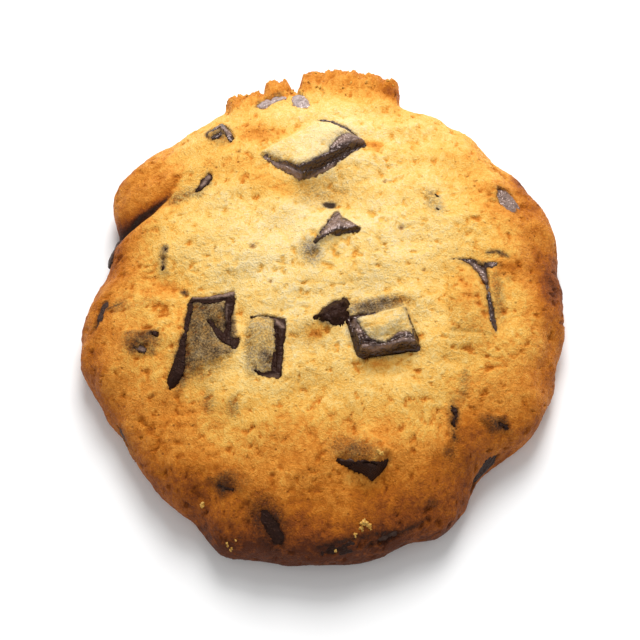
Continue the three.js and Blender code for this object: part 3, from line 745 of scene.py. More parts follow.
def line_bumps(x, y, lines):
    """Lines, each a bell across and as high as its points say along; below zero, a narrow cut."""
    height = np.zeros(np.shape(x))
    for line in lines:
        for start, end in zip(line, line[1:]):
            share, away = near_leg(x, y, start, end)
            up = start[2] + (end[2] - start[2]) * share
            bump = up * np.exp(-(away / (RIDGE_REACH if start[2] > 0.0 else CUT_REACH)) ** 2)
            height = np.where(np.abs(bump) > np.abs(height), bump, height)
    return height


def shape():
    """The cookie's sizes."""
    return bpy.context.scene.cookie_shape


def outline_radius(angle):
    """Mean radius, plus an oval wave, plus a bell for each bulge."""
    lobes, at, out = OVAL
    degrees = np.degrees(angle)
    radius = shape().mean_radius / MM + out * np.cos(lobes * (angle - math.radians(at)))
    for at, spread_out, out in BULGES:
        turn = (degrees - at + 180.0) % 360.0 - 180.0
        radius = radius + out * np.exp(-(turn / spread_out) ** 2)
    return radius


def ledge_out(angle):
    """How far the broken ledges stand out at an angle."""
    degrees = np.degrees(angle) % 360.0
    out = np.zeros_like(degrees)
    for start, end, size in LEDGES:
        inside = np.minimum(degrees - start, end - degrees)
        out = np.maximum(out, size * smooth(inside, -LEDGE_EDGE, LEDGE_EDGE))
    return out


def on_ledge(height):
    """1 at the ledges' heights, 0 over their crest."""
    return 1.0 - smooth(height, LEDGE_LIP, LEDGE_CREST)


def section():
    """The side view from crown to foot: share of the radius, inset and height.

    A superellipse dome down to the skirt, then a quarter turn inwards to the foot."""
    s = shape()
    power, skirt = s.dome_power, s.skirt_height / MM
    turn = np.linspace(0.0, math.pi / 2, DOME_STEPS)
    share = np.sin(turn) ** (2.0 / power)
    height = skirt + (s.height / MM - skirt) * np.cos(turn) ** (2.0 / power)
    tuck = np.linspace(0.0, math.pi / 2, TUCK_STEPS)[1:]
    share = np.r_[share, np.ones(len(tuck))]
    inset = np.r_[np.zeros(len(turn)), s.foot_tuck / MM * (1.0 - np.cos(tuck))]
    height = np.r_[height, skirt * (1.0 - np.sin(tuck))]
    return share, inset, height


def section_at(way):
    """Share, inset, height and outward direction at a share of the way from crown to foot."""
    share, inset, height = section()
    out = share * shape().mean_radius / MM - inset
    run = np.r_[0.0, np.cumsum(np.hypot(np.diff(out), np.diff(height)))]
    slope = np.stack([-np.gradient(height, run), np.gradient(out, run)], axis=-1)
    slope /= np.linalg.norm(slope, axis=1, keepdims=True)
    place = way * run[-1]
    return [np.interp(place, run, column) for column in (share, inset, height, *slope.T)]


def dome_height(x, y):
    """Height of the smooth dome over a place in plan."""
    s = shape()
    power, skirt = s.dome_power, s.skirt_height / MM
    share = np.clip(np.hypot(x, y) / outline_radius(np.arctan2(y, x)), 0.0, 1.0)
    return skirt + (s.height / MM - skirt) * (1.0 - share ** power) ** (1.0 / power)


def slow_lumps(x, y, z):
    """Crossed waves, each shorter than the last and turned from it."""
    total, wave = 0.0, LONGEST_WAVE
    for i in range(WAVES):
        angle = i * WAVE_TURN
        place = x * math.cos(angle) + y * math.sin(angle) + z * math.cos(2.0 * angle)
        total = total + np.sin(2.0 * math.pi * place / wave + i * WAVE_SHIFT)
        wave *= NEXT_WAVE
    return WAVE_HEIGHT * total / math.sqrt(WAVES / 2)


def split_legs(x, y):
    """For each leg of the split: how far along the split, how far away, and if on the lobe's side."""
    legs = len(SPLIT) - 1
    for i, (start, end) in enumerate(zip(SPLIT, SPLIT[1:])):
        share, away = near_leg(x, y, start, end)
        (ax, ay), (bx, by) = start, end
        yield (i + share) / legs, away, (bx - ax) * (y - ay) - (by - ay) * (x - ax) > 0


def split_depth(x, y):
    """Depth of the split: steep on the body's side, a long slope on the lobe's side."""
    depth = np.zeros(np.shape(x))
    wobble = 0.5 * plan_noise(x, y, *SPLIT_WOBBLE)
    for along, away, on_lobe in split_legs(x, y):
        width = np.where(on_lobe, SPLIT_LOBE_WIDTH * (1.0 - 0.6 * along), SPLIT_BODY_WIDTH)
        depth = np.maximum(depth, (1.0 - along) * np.exp(-away / (width * (1.0 + 0.3 * wobble))))
    return SPLIT_DEPTH * depth


def lobe_shade(x, y):
    """How much the lobe's slope darkens towards the split, fading away from the split and along it: partly
    browning, partly painted shade of the split.
    """
    shade = np.zeros(np.shape(x))
    wide, narrow, on_body = LOBE_SHADE_REACHES
    for along, away, on_lobe in split_legs(x, y):
        slope = np.exp(-(away / wide) ** 2) + 0.9 * np.exp(-(away / narrow) ** 2)
        near = np.where(on_lobe, slope, np.exp(-(away / on_body) ** 2))
        shade = np.maximum(shade, near * (1.0 - along) ** 1.2)
    return shade


def swellings(x, y):
    """Height of the hollows and swellings."""
    total = np.zeros(np.shape(x))
    for *where, up in SWELLINGS:
        total += up * bell(x, y, *where)
    return total


def cracks(x, y):
    """Short creases: noise folded into sharp grooves, in bands and broken up by a second noise."""
    drift = CRACK_BEND * plan_noise(x, y, *CRACK_DRIFT)
    fold = plan_noise(x - drift, y + drift, *CRACK_FOLD)
    band = smooth(plan_noise(x, y, *CRACK_BAND), -0.25, 0.35)
    broken = smooth(plan_noise(x, y, *CRACK_BREAKS), 0.0, 0.4)
    return -CRACK_DEPTH * band * broken * np.exp(-np.abs(fold) / CRACK_WIDTH)


def open_crumb(place):
    """Small pits where the crust is open: the low parts of a layered noise, cut off flat."""
    low = layered_noise(place, *PITTED)
    return -PIT_DEPTH * smooth(low, 0.42, 0.92) + PIT_LIP * smooth(-low, 0.3, 0.9)


def chunk_surface(chunk, x, y):
    """Height of a chunk's upper face above the dough around it, sloping off past its outline."""
    middle = np.mean(chunk.outline, axis=0)
    slope_x, slope_y = chunk.slope
    wobble = OUTLINE_WOBBLE * plan_noise(x, y, *CHUNK_WOBBLE)
    inside = outline_distance(x, y, chunk.outline) + wobble
    plane = chunk.rise + slope_x * (x - middle[0]) + slope_y * (y - middle[1])
    steep = (chunk.rise + FOOT_DROP) / max(chunk.foot, SHORTEST_FOOT)
    edge = EDGE_DIP * np.exp(-np.maximum(inside, 0.0) / EDGE_REACH)
    return plane - edge + steep * np.minimum(inside, 0.0), inside


def stroke_cover(chunk, x, y, grow):
    """1 where a chunk lies bare, 0 where dough covers it.

    The strokes say where; their border is ragged, and the chunk's own outline cuts them off, so
    that its straight edges and corners stay. The dough stops short of the border by a little and
    the chocolate runs past it, so no groove opens between them."""
    ragged = TORN_REACH * layered_noise(at_places(x, y, 2.5), *TORN_BORDER)
    ragged += WAVER_REACH * plan_noise(x, y, *BORDER_WOBBLE)
    ragged = ragged * chunk.ragged
    depth = stroke_depth(x, y, chunk.bare) + ragged
    inside = outline_distance(x, y, chunk.outline) + chunk.foot + max(chunk.fall, LEAST_FALL)
    inside = inside + 0.3 * ragged
    return smooth(np.minimum(depth, inside) + grow, -BORDER_SOFT, BORDER_SOFT)


def common_relief(x, y):
    """What dough and chunks share: hollows, and the form of each chunk under the dough."""
    total = swellings(x, y)
    for chunk in TOP_CHUNKS:
        surface, inside = chunk_surface(chunk, x, y)
        total = np.where(inside > -CHUNK_NEAR, soft_max(surface, total, 0.35), total)
    return total


def dough_lift(x, y):
    """Height of the dough over the shared relief, how bare of it a place is, and how pale it is."""
    lift, bare, pale = np.zeros((3, *np.shape(x)))
    skin = shape().skin / MM
    for chunk in TOP_CHUNKS:
        _, inside = chunk_surface(chunk, x, y)
        cover = stroke_cover(chunk, x, y, -DOUGH_STOPS_SHORT)
        on_chunk = smooth(inside, -0.5, 0.6)
        away = -stroke_depth(x, y, chunk.bare)
        crown = chunk.crown * smooth(inside, 0.2, 3.2) * smooth(away, 0.0, 2.6)
        lift += (skin * on_chunk * smooth(away, -0.2, 1.4) + crown) * (1.0 - cover) - DOUGH_SINKS * cover
        bare = np.maximum(bare, cover)
        pale = np.maximum(pale, chunk.pale * on_chunk)
    return lift, bare, pale


def square_to_disc(u, v):
    """Carries the square from -1 to 1 onto a disc: angle and share of the radius."""
    wide = np.abs(u) > np.abs(v)
    big = np.where(wide, u, v)
    ratio = np.where(wide, v, u) / np.where(big == 0.0, 1.0, big)
    angle = np.where(wide, ratio * math.pi / 4, math.pi / 2 - ratio * math.pi / 4)
    return angle + np.where(big < 0.0, math.pi, 0.0), np.abs(big)


def rim_frame(chunk):
    """Place and axes of a rim chunk: its middle on the crust, along, up the slope and out."""
    ways = np.linspace(0.0, 1.0, WAY_STEPS)
    _, _, heights, _, _ = section_at(ways)
    way = ways[np.argmax(heights <= chunk.height)]
    share, inset, _, out_x, out_z = section_at(way)
    a = math.radians(chunk.angle)
    radius = share * outline_radius(np.array(a)) - inset
    radius = radius + ledge_out(np.array(a)) * on_ledge(np.array(chunk.height))
    middle = np.array([radius * math.cos(a), radius * math.sin(a), chunk.height])
    push = slow_lumps(*middle) + swellings(middle[0], middle[1])
    out = np.array([out_x * math.cos(a), out_x * math.sin(a), out_z])
    along = np.array([-math.sin(a), math.cos(a), 0.0])
    up = np.cross(out, along)
    c, s = math.cos(math.radians(chunk.turn)), math.sin(math.radians(chunk.turn))
    return middle + push * out, np.stack([c * along + s * up, c * up - s * along, out])


def rim_pockets(points):
    """Pushes the dough in where a rim chunk shows, and says how tinted it is around.

    The chunk shows through a ragged, lens-shaped window with its dough folded over the ends."""
    moved = points.copy()
    tinted = np.zeros(points.shape[:-1])
    ragged = WINDOW_TORN * layered_noise(points, *TORN_WINDOW)
    for chunk in RIM_CHUNKS:
        middle, axes = rim_frame(chunk)
        local = points - middle
        a, b, c = (local @ axis for axis in axes)
        a = np.abs(a - chunk.start)
        lens = chunk.wide * np.clip(1.0 - (a / chunk.half) ** 2, 0.0, 1.0) ** 0.8
        inside = np.where(a < chunk.half, lens - np.abs(b), chunk.half - a - np.abs(b))
        near = np.abs(c) < chunk.size[2]
        cover = smooth(inside + ragged - 0.05, -0.25, 0.25) * near
        sink = np.maximum(c - (chunk.out - WINDOW_DEPTH), 0.0) * cover
        moved -= sink[..., None] * axes[2]
        tinted = np.maximum(tinted, smooth(inside + ragged, -0.9, 0.3) * near)
    return moved, tinted


def crust_points(angle, way):
    """Points of the crust and the fields that colour it, on one grid.

    Each point starts on the smooth dome. Slow lumps, the split, wrinkles, crumbs of the broken
    ledge and fine noise push it along the dome's outward direction, which is straight up over
    the top. Chunks and hollows lift it straight up, and rim chunks press it in."""
    share, inset, height, out_x, out_z = section_at(way)
    ledge = ledge_out(angle)
    at_ledge = on_ledge(height)
    radius = share * outline_radius(angle) - inset + ledge * at_ledge
    cosine, sine = np.cos(angle), np.sin(angle)
    x, y = radius * cosine, radius * sine
    side = smooth(share, *SIDE_STARTS)
    outward = at_places(out_x * cosine * side, out_x * sine * side, 1.0 - side * (1.0 - out_z))
    outward /= np.linalg.norm(outward, axis=-1, keepdims=True)
    place = at_places(x, y, height)
    broken = np.minimum(ledge, 1.0) * smooth(at_ledge, 0.05, 0.6)
    rough = broken * BROKEN_HEIGHT * layered_noise(place, *BROKEN)
    medium = WAVY_HEIGHT * layered_noise(place, *WAVY)
    fine = GRAINY_HEIGHT * layered_noise(place, *GRAINY) + open_crumb(place) * (1.0 - broken)
    lift, bare, pale = dough_lift(x, y)
    creases = cracks(x, y) * (1.0 - side) * (1.0 - bare)
    push = slow_lumps(x, y, height) + medium + fine + creases + rough - split_depth(x, y)
    push = push * smooth(height, 0.0, shape().skirt_height / MM)
    for at_x, at_y, reach in PORES:
        away = np.hypot(x - at_x, y - at_y)
        push = push - PORE_DEPTH * reach * np.exp(-(away / (PORE_SPREAD * reach)) ** 2)
    points = place + push[..., None] * outward
    points[..., 2] += (common_relief(x, y) + lift) * (1.0 - smooth(share, *TOP_ENDS))
    points, rim_tint = rim_pockets(points)
    points[..., 2] = np.maximum(points[..., 2], 0.0)
    # cavity is how deep the crust's hollows are, for their painted shade
    fields = {
        "x": x, "y": y, "height": height, "ledge": broken, "lobe": lobe_shade(x, y), "pale": pale,
        "cavity": -creases - fine - 0.5 * rough, "rim_tint": rim_tint,
    }
    return points, fields


def bake_field(fields):
    """How baked the crust is, from 0 in the pale middle to 1 at the foot.

    It grows from the middle towards the sides and the front, with slow and small patches. Towards the front
    it is partly browning and partly painted shade of the side turned from the key light; the lobe's slope
    and the crust's hollows also get painted shade."""
    x, y, height = (fields[key] for key in ("x", "y", "height"))
    place = at_places(x, y, height)
    across, along = x / BAKE_REACH, y / BAKE_REACH
    # Towards the front: browning, and painted shade of the side turned from the key light
    bake = 0.16 - 0.23 * along + 0.46 * along ** 2 + 0.50 * across ** 2 + 0.05 * smooth(-along, 0.4, 0.9)
    bake += 0.10 * (1.0 - smooth(height, 2.0, 9.0)) * smooth(along, -0.3, 0.6)
    bake += 0.09 * layered_noise(place, *BAKE_PATCHES) + 0.05 * layered_noise(place, *BAKE_SPOTS)
    bake += (LEDGE_BAKE - bake) * 0.85 * fields["ledge"]
    for *where, more in BROWNED:
        bake += more * bell(x, y, *where)
    # Browning and painted shade of the split on the lobe's slope
    bake += LOBE_BAKE_AND_SHADE * fields["lobe"] - fields["pale"]
    # Painted shade in the crust's hollows, drawn as extra bake
    bake += CAVITY_SHADE * np.clip(fields["cavity"], -0.2, 0.5) * (1.0 - 0.75 * smooth(bake, 0.3, 0.75))
    return np.clip(bake, 0.04, 1.0)


def stain_field(fields):
    """How strongly chocolate tints the dough: in spots, over and around chunks, and in smears. A few spots
    and one smear paint shade instead: in front of and under the chevron chunk, and in the split beside the
    lobe.
    """
    x, y = fields["x"], fields["y"]
    stain = np.zeros(x.shape)
    uneven = layered_noise(at_places(x, y, 3.0), *UNEVEN)
    for at_x, at_y, reach_x, reach_y, turn, strength in STAINS:
        c, s = math.cos(math.radians(turn)), math.sin(math.radians(turn))
        a, b = (x - at_x) * c + (y - at_y) * s, (y - at_y) * c - (x - at_x) * s
        spot = strength * np.exp(-((a / reach_x) ** 2 + (b / reach_y) ** 2) ** 1.5)
        stain = np.maximum(stain, spot)
    for chunk in TOP_CHUNKS:
        inside = smooth(outline_distance(x, y, chunk.outline) + 0.3 * uneven, -0.5, 0.6)
        depth = stroke_depth(x, y, chunk.bare)
        stain = np.maximum(stain, smooth(depth, -0.7, 0.3) * (0.3 + 0.6 * inside))
        reach = 0.8 + 1.9 * chunk.film
        film = smooth(depth + 0.5 * uneven, -reach, 0.6) * (0.6 + 0.6 * chunk.film) * inside
        stain = np.maximum(stain, film)
        stain = np.maximum(stain, chunk.film * inside)
    smear = stroke_depth(x + 0.3 * uneven, y + 0.3 * uneven, SMEARS)
    stain = np.maximum(stain, 0.4 * smooth(smear, -0.8, 0.0) + 0.6 * smooth(smear, -0.15, 0.15))
    stain = np.maximum(stain, 0.8 * fields["rim_tint"])
    return np.clip(stain * (1.0 + 0.30 * uneven), 0.0, 1.2)


def pore_field(fields):
    """1 on the floors of the larger pores, 0 around them, for their painted shade."""
    pore = np.zeros(fields["x"].shape)
    for at_x, at_y, reach in PORES:
        away = np.hypot(fields["x"] - at_x, fields["y"] - at_y)
        pore = np.maximum(pore, np.exp(-(away / (PORE_FLOOR * reach)) ** 4))
    return pore


def to_metres(points):
    """Puts points of the cookie's own plan into the frame, in metres."""
    return (points + (*MIDDLE_SHIFT, 0.0)) * MM


def new_piece(name, points, faces, material, replaced=()):
    """A smooth-shaded mesh piece from arrays, riding on the cookie's body."""
    mesh = bpy.data.meshes.new(name)
    mesh.from_pydata(to_metres(points).tolist(), [], faces)
    mesh.polygons.foreach_set("use_smooth", np.ones(len(mesh.polygons), bool))
    mesh.materials.append(material)
    mesh.update()
    piece = bpy.data.objects.new(name, mesh)
    bpy.context.scene.collection.objects.link(piece)
    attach(piece, BODY)
    if replaced:
        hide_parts(*replaced)
    return piece


def add_field(piece, name, values):
    """Stores one number for each vertex, for the material to read."""
    attribute = piece.data.attributes.new(name, "FLOAT", "POINT")
    attribute.data.foreach_set("value", np.asarray(values, np.float32).ravel())


def square_grid(low, high, side):
    """Coordinates u and v of a square grid."""
    steps = np.linspace(low, high, side)
    v, u = np.meshgrid(steps, steps, indexing="ij")
    return u, v


def grid_faces(side):
    """Quads of a square grid whose vertices run row by row."""
    corner = np.arange((side - 1) * side).reshape(side - 1, side)[:, :-1]
    return np.stack([corner, corner + 1, corner + side + 1, corner + side], -1).reshape(-1, 4)


def ring_faces(outer, inner):
    """Quads between two rings of vertices."""
    return np.stack([outer, inner, np.roll(inner, -1), np.roll(outer, -1)], -1)


def border_order(side):
    """Vertices round the edge of a square grid, counter-clockwise."""
    last = side - 1
    return np.r_[
        np.arange(last), last + side * np.arange(last),
        side * last + np.arange(last, 0, -1), side * np.arange(last, 0, -1),
    ]


def feed(tree, socket, value):
    """Links a node's output to a socket, or sets the socket's own value."""
    if isinstance(value, bpy.types.NodeSocket):
        tree.links.new(value, socket)
    else:
        socket.default_value = value


def material_tree(name):
    """A new node material, its tree and its Principled shader."""
    material = bpy.data.materials.new(name)
    material.use_nodes = True
    tree = material.node_tree
    return material, tree, tree.nodes["Principled BSDF"]


def add_node(tree, kind, inputs, **settings):
    """Adds a node, sets its properties, and sets or links its sockets."""
    node = tree.nodes.new(kind)
    for key, value in settings.items():
        setattr(node, key, value)
    for key, value in inputs.items():
        feed(tree, node.inputs[key], value)
    return node


def math_node(tree, operation, *values, clamp=False):
    """Output of a Math node."""
    inputs = dict(enumerate(values))
    return add_node(tree, "ShaderNodeMath", inputs, operation=operation, use_clamp=clamp).outputs[0]


def plus(tree, a, b):
    """Sum of two values."""
    return math_node(tree, "ADD", a, b)


def times(tree, a, b):
    """Product of two values."""
    return math_node(tree, "MULTIPLY", a, b)


def mix_colour(tree, factor, a, b, blend="MIX"):
    """Colour a, with b over it by a factor."""
    inputs = {0: factor, 6: a, 7: b}
    return add_node(tree, "ShaderNodeMix", inputs, data_type="RGBA", blend_type=blend).outputs[2]


def millimetre_coordinates(tree):
    """Object coordinates in millimetres."""
    place = add_node(tree, "ShaderNodeTexCoord", {}).outputs["Object"]
    size = (1.0 / MM, 1.0 / MM, 1.0 / MM)
    return add_node(tree, "ShaderNodeMapping", {"Vector": place, "Scale": size}).outputs[0]


def noise_node(tree, vector, scale, detail, roughness=0.5):
    """Value of a Noise Texture."""
    inputs = {"Vector": vector, "Scale": scale, "Detail": detail, "Roughness": roughness}
    return add_node(tree, "ShaderNodeTexNoise", inputs).outputs[0]


def cell_node(tree, vector, scale):
    """Distance from the nearest point of a Voronoi Texture."""
    inputs = {"Vector": vector, "Scale": scale, "Randomness": 1.0}
    return add_node(tree, "ShaderNodeTexVoronoi", inputs, feature="F1").outputs["Distance"]


def field_node(tree, name):
    """Value of a vertex attribute."""
    return add_node(tree, "ShaderNodeAttribute", {}, attribute_name=name).outputs["Fac"]


def spread(tree, value, low, high, new_low=0.0, new_high=1.0):
    """Maps a range of values onto another, held at its ends."""
    inputs = {"Value": value, "From Min": low, "From Max": high, "To Min": new_low, "To Max": new_high}
    return add_node(tree, "ShaderNodeMapRange", inputs).outputs[0]


def add_bump(tree, shader, height, distance):
    """Gives a shader the relief of a height, distance deep in millimetres."""
    bump = add_node(tree, "ShaderNodeBump", {"Height": height, "Strength": 1.0, "Distance": distance * MM})
    tree.links.new(bump.outputs[0], shader.inputs["Normal"])


def colour(values):
    """A colour with full alpha, as sockets take it."""
    return (*values, 1.0)


def crust_grain(tree, place):
    """Height of the floury grain: coarse noise, fine powder and bent round lumps."""
    coarse = noise_node(tree, place, *COARSE_GRAIN)
    powder = noise_node(tree, place, *POWDER_GRAIN)
    bent = add_node(tree, "ShaderNodeTexNoise", {"Vector": place, "Scale": LUMP_BEND, "Detail": 2.0})
    shifted = add_node(
        tree, "ShaderNodeVectorMath", {0: bent.outputs["Color"], 1: (1.2, 1.2, 1.2), 2: place},
        operation="MULTIPLY_ADD",
    )
    lumps = spread(tree, cell_node(tree, shifted.outputs[0], LUMP_SCALE), 0.1, 0.8, 1.0, 0.0)
    height = plus(tree, times(tree, coarse, 0.42), times(tree, powder, 0.58))
    return plus(tree, height, times(tree, lumps, 0.18))


def baked_colour(tree, place, bake, grain_height):
    """Ramp of the bake from cream to dark brown, mottled, and darker between the grains, a painted shade of
    the grain.
    """
    colours = bpy.context.scene.cookie_colours
    mottle = spread(tree, noise_node(tree, place, *MOTTLE), 0.3, 0.7, -0.06, 0.06)
    # Painted shade: low places of the grain are coloured darker
    strength = spread(tree, bake, 0.2, 0.7, 0.17, 0.07)
    grain = times(tree, spread(tree, grain_height, 0.40, 0.78, 1.0, -1.0), strength)
    level = math_node(tree, "ADD", plus(tree, bake, mottle), grain, clamp=True)
    ramp = add_node(tree, "ShaderNodeValToRGB", {"Fac": level})
    stops = (
        (0.0, colours.cream), (0.22, colours.straw), (0.42, colours.gold), (0.58, colours.amber),
        (0.73, colours.russet), (0.87, colours.brown), (1.0, colours.dark),
    )
    ramp.color_ramp.elements[0].color = colour(stops[0][1])
    ramp.color_ramp.elements[1].color = colour(stops[-1][1])
    for position, value in stops[1:-1]:
        ramp.color_ramp.elements.new(position).color = colour(value)
    return ramp.outputs[0]


def small_pores(tree, place, bake):
    """1 on the floors of small pores, which come in patches and more on the baked crust; these floors get
    painted shade.
    """
    some = spread(tree, noise_node(tree, place, *PORE_PATCHES), 0.46, 0.56)
    floors = spread(tree, cell_node(tree, place, PORE_SCALE), 0.10, 0.2, 1.0, 0.0)
    return times(tree, times(tree, floors, some), spread(tree, bake, 0.2, 0.7, 0.35, 0.85))


def crust_material():
    """Baked dough: its bake, chocolate tints and smears, pores and a floury grain."""
    colours = bpy.context.scene.cookie_colours
    material, tree, shader = material_tree("baked_crust")
    place = millimetre_coordinates(tree)
    bake = field_node(tree, "bake")
    height = crust_grain(tree, place)
    base = baked_colour(tree, place, bake, height)

    stain = field_node(tree, "stain")
    speckle = spread(tree, noise_node(tree, place, *SPECKLE), 0.3, 0.7, -0.36, 0.36)
    speckled = math_node(tree, "MULTIPLY_ADD", speckle, spread(tree, stain, 0.0, 0.35), stain)
    base = mix_colour(tree, spread(tree, speckled, 0.05, 0.70), base, colour(colours.stain), "MULTIPLY")
    base = mix_colour(tree, spread(tree, speckled, 0.70, 1.05, 0.0, 0.95), base, colour(colours.smear))

    # Painted shade: pore floors are coloured brown
    pores = math_node(tree, "MAXIMUM", small_pores(tree, place, bake), field_node(tree, "pore"))
    base = mix_colour(tree, times(tree, pores, 0.75), base, colour(colours.brown))
    feed(tree, shader.inputs["Base Color"], base)
    feed(tree, shader.inputs["Roughness"], CRUST_ROUGHNESS)
    feed(tree, shader.inputs["Specular IOR Level"], CRUST_SPECULAR)
    add_bump(tree, shader, math_node(tree, "SUBTRACT", height, times(tree, pores, 0.4)), CRUST_BUMP)
    return material


def chocolate_material(name):
    """Dark chocolate: a greyish bloom mixed with painted light on lit faces and ridges, a little crumb dust
    and small ridges from its melting.
    """
    gloss_low, gloss_high, specular, painted_light_tint = FINISHES[name]
    colours = bpy.context.scene.cookie_colours
    material, tree, shader = material_tree(name)
    place = millimetre_coordinates(tree)
    # Painted light: lit faces and ridge highlights, mixed with greyish bloom, read from the vertex field
    patchy = spread(tree, noise_node(tree, place, *BLOOM_AND_LIGHT_PATCHES), 0.35, 0.70, 0.45, 1.0)
    bloom_and_painted_light = times(tree, field_node(tree, "bloom_and_painted_light"), patchy)
    base = mix_colour(tree, bloom_and_painted_light, colour(colours.chocolate), colour(getattr(colours, painted_light_tint)))
    dust = spread(tree, noise_node(tree, place, *DUST_SPECKS), 0.62, 0.74, 0.0, 0.22)
    feed(tree, shader.inputs["Base Color"], mix_colour(tree, dust, base, colour(colours.dust)))
    gloss = spread(tree, noise_node(tree, place, *GLOSS_PATCHES), 0.3, 0.7, gloss_low, gloss_high)
    feed(tree, shader.inputs["Roughness"], gloss)
    feed(tree, shader.inputs["Specular IOR Level"], specular)
    feed(tree, shader.inputs["Specular Tint"], CHOCOLATE_GLINT)
    off = math_node(tree, "SUBTRACT", noise_node(tree, place, *MELT_FOLDS), 0.5)
    folds = spread(tree, math_node(tree, "ABSOLUTE", off), 0.0, 0.09, 0.45, 0.0)
    ridges = plus(tree, noise_node(tree, place, *MELT_RIDGES), folds)
    fine = times(tree, noise_node(tree, place, *MELT_GRAIN), 0.05)
    add_bump(tree, shader, plus(tree, ridges, fine), CHOCOLATE_BUMP)
    return material


def chunk_material(name):
    """Chocolate with a painted highlight for the rim's shard and tooth, glossy chocolate for the other
    chunks with a lit face, dull chocolate for the others.
    """
    finish = "dull_chocolate"
    if name in GLOSSY:
        finish = "dark_chocolate"
    if name in PAINTED_HIGHLIGHT_CHUNKS:
        finish = "pale_chocolate"
    return bpy.data.materials.get(finish) or chocolate_material(finish)


class COOKIE_OT_dough(bpy.types.Operator):
    """Lays a square grid over the dome of the cookie, gives it its relief, and closes it underneath"""

    bl_idname = "cookie.dough"
    bl_label = "Dough"

    def execute(self, context):
        side = shape().grid + 1
        angle, way = square_to_disc(*square_grid(-1.0, 1.0, side))
        # The top gets finer cells than the side, which is seen less
        points, fields = crust_points(angle, way * (TOP_CELLS + SIDE_CELLS * way ** 3))
        points = points.reshape(-1, 3)
        border = border_order(side)
        points[border, 2] = 0.0

        vertices, faces = [points], [grid_faces(side)]
        outer, count = border, len(points)
        for scale in UNDERSIDE_RINGS:
            inner = count + np.arange(len(border))
            vertices.append(points[border] * (scale, scale, 1.0))
            faces.append(ring_faces(outer, inner))
            outer, count = inner, count + len(border)
        vertices.append(points[border].mean(0, keepdims=True) * (1.0, 1.0, 0.0))
        # Triangles close the middle of the underside
        hub = np.full(len(outer), count)
        fan = np.stack([outer, hub, np.roll(outer, -1)], -1)
        vertices = np.concatenate(vertices)
        everything = np.concatenate(faces).tolist() + fan.tolist()

        piece = new_piece("dough_crust", vertices, everything, crust_material(), ("dough",))
        under = len(vertices) - len(points)
        add_field(piece, "bake", np.r_[bake_field(fields).ravel(), np.full(under, UNDERSIDE_BAKE)])
        add_field(piece, "stain", np.r_[stain_field(fields).ravel(), np.zeros(under)])
        add_field(piece, "pore", np.r_[pore_field(fields).ravel(), np.zeros(under)])
        return {"FINISHED"}


def moved_out(corners, by):
    """Corners of an outline after each of its sides has moved out by a distance."""
    after = np.roll(corners, -1, 0)
    sides = after - corners
    turn = np.sign(np.cross(corners, after).sum())
    outward = turn * np.stack([sides[:, 1], -sides[:, 0]], -1)
    outward = outward / np.linalg.norm(sides, axis=1, keepdims=True)
    before = np.roll(outward, 1, 0)
    return corners + (outward + before) / (1.0 + (outward * before).sum(1, keepdims=True)) * by


def chunk_heights(chunk, x, y, border):
    """Top and floor of a chunk's block; border is 1 at the grid's edge and 0 inside.

    The top stands on the shared relief, sinks under the dough where that covers it, and rounds
    off at its border; the floor lies at the block's depth."""
    dome = dome_height(x, y)
    cover = stroke_cover(chunk, x, y, CHOCOLATE_RUNS_PAST)
    bulge = CHUNK_BULGE + RIDGE_SHARE * line_bumps(x, y, chunk.ridges)
    ripple = RIPPLE_HEIGHT * chunk.ragged * layered_noise(at_places(x, y, chunk.rise), *MELTED)
    top = dome + slow_lumps(x, y, dome) + common_relief(x, y) + bulge + ripple
    top = top - CHOCOLATE_SINKS * (1.0 - cover) - BORDER_DROP * border
    floor = dome + chunk.rise - chunk.depth + FLOOR_RISE * border
    return top, np.minimum(floor, top - THINNEST_CHUNK)


def top_chunk_mesh(chunk):
    """A closed block whose top follows the chunk's face where it lies bare.

    The outline's four corners, moved out past the foot, carry a grid by straight blending. The
    floor is the same grid over the outline's own corners, and rows of quads join the two."""
    floor_corners = np.array(chunk.outline)
    corners = moved_out(floor_corners, chunk.foot + chunk.fall + CHUNK_MARGIN)
    longest = np.abs(np.roll(corners, -1, 0) - corners).max()
    side = int(np.clip(longest / CHUNK_CELL, *CHUNK_CELLS))
    u, v = square_grid(0.0, 1.0, side)
    weights = np.stack([(1 - u) * (1 - v), u * (1 - v), u * v, (1 - u) * v], -1)
    x, y = np.moveaxis(weights @ corners, -1, 0)
    low_x, low_y = np.moveaxis(weights @ floor_corners, -1, 0)
    from_edge = np.minimum(np.minimum(u, 1 - u), np.minimum(v, 1 - v))
    top, floor = chunk_heights(chunk, x, y, np.exp(-from_edge / CHUNK_ROUNDING))
    upper = at_places(x, y, top).reshape(-1, 3)
    lower = at_places(low_x, low_y, floor).reshape(-1, 3)

    order = border_order(side)
    vertices = [upper, lower]
    faces = [grid_faces(side), grid_faces(side)[:, ::-1] + len(upper)]
    ring, count = order, 2 * len(upper)
    for share in WALL_ROWS:
        vertices.append(upper[order] * (1 - share) + lower[order] * share)
        inner = count + np.arange(len(order))
        faces.append(ring_faces(ring, inner))
        ring, count = inner, count + len(order)
    faces.append(ring_faces(ring, order + len(upper)))
    faces = np.concatenate(faces)
    a, b, _, d = corners
    if np.cross(b - a, d - a) < 0:
        faces = faces[:, ::-1]
    return np.concatenate(vertices), faces.tolist()


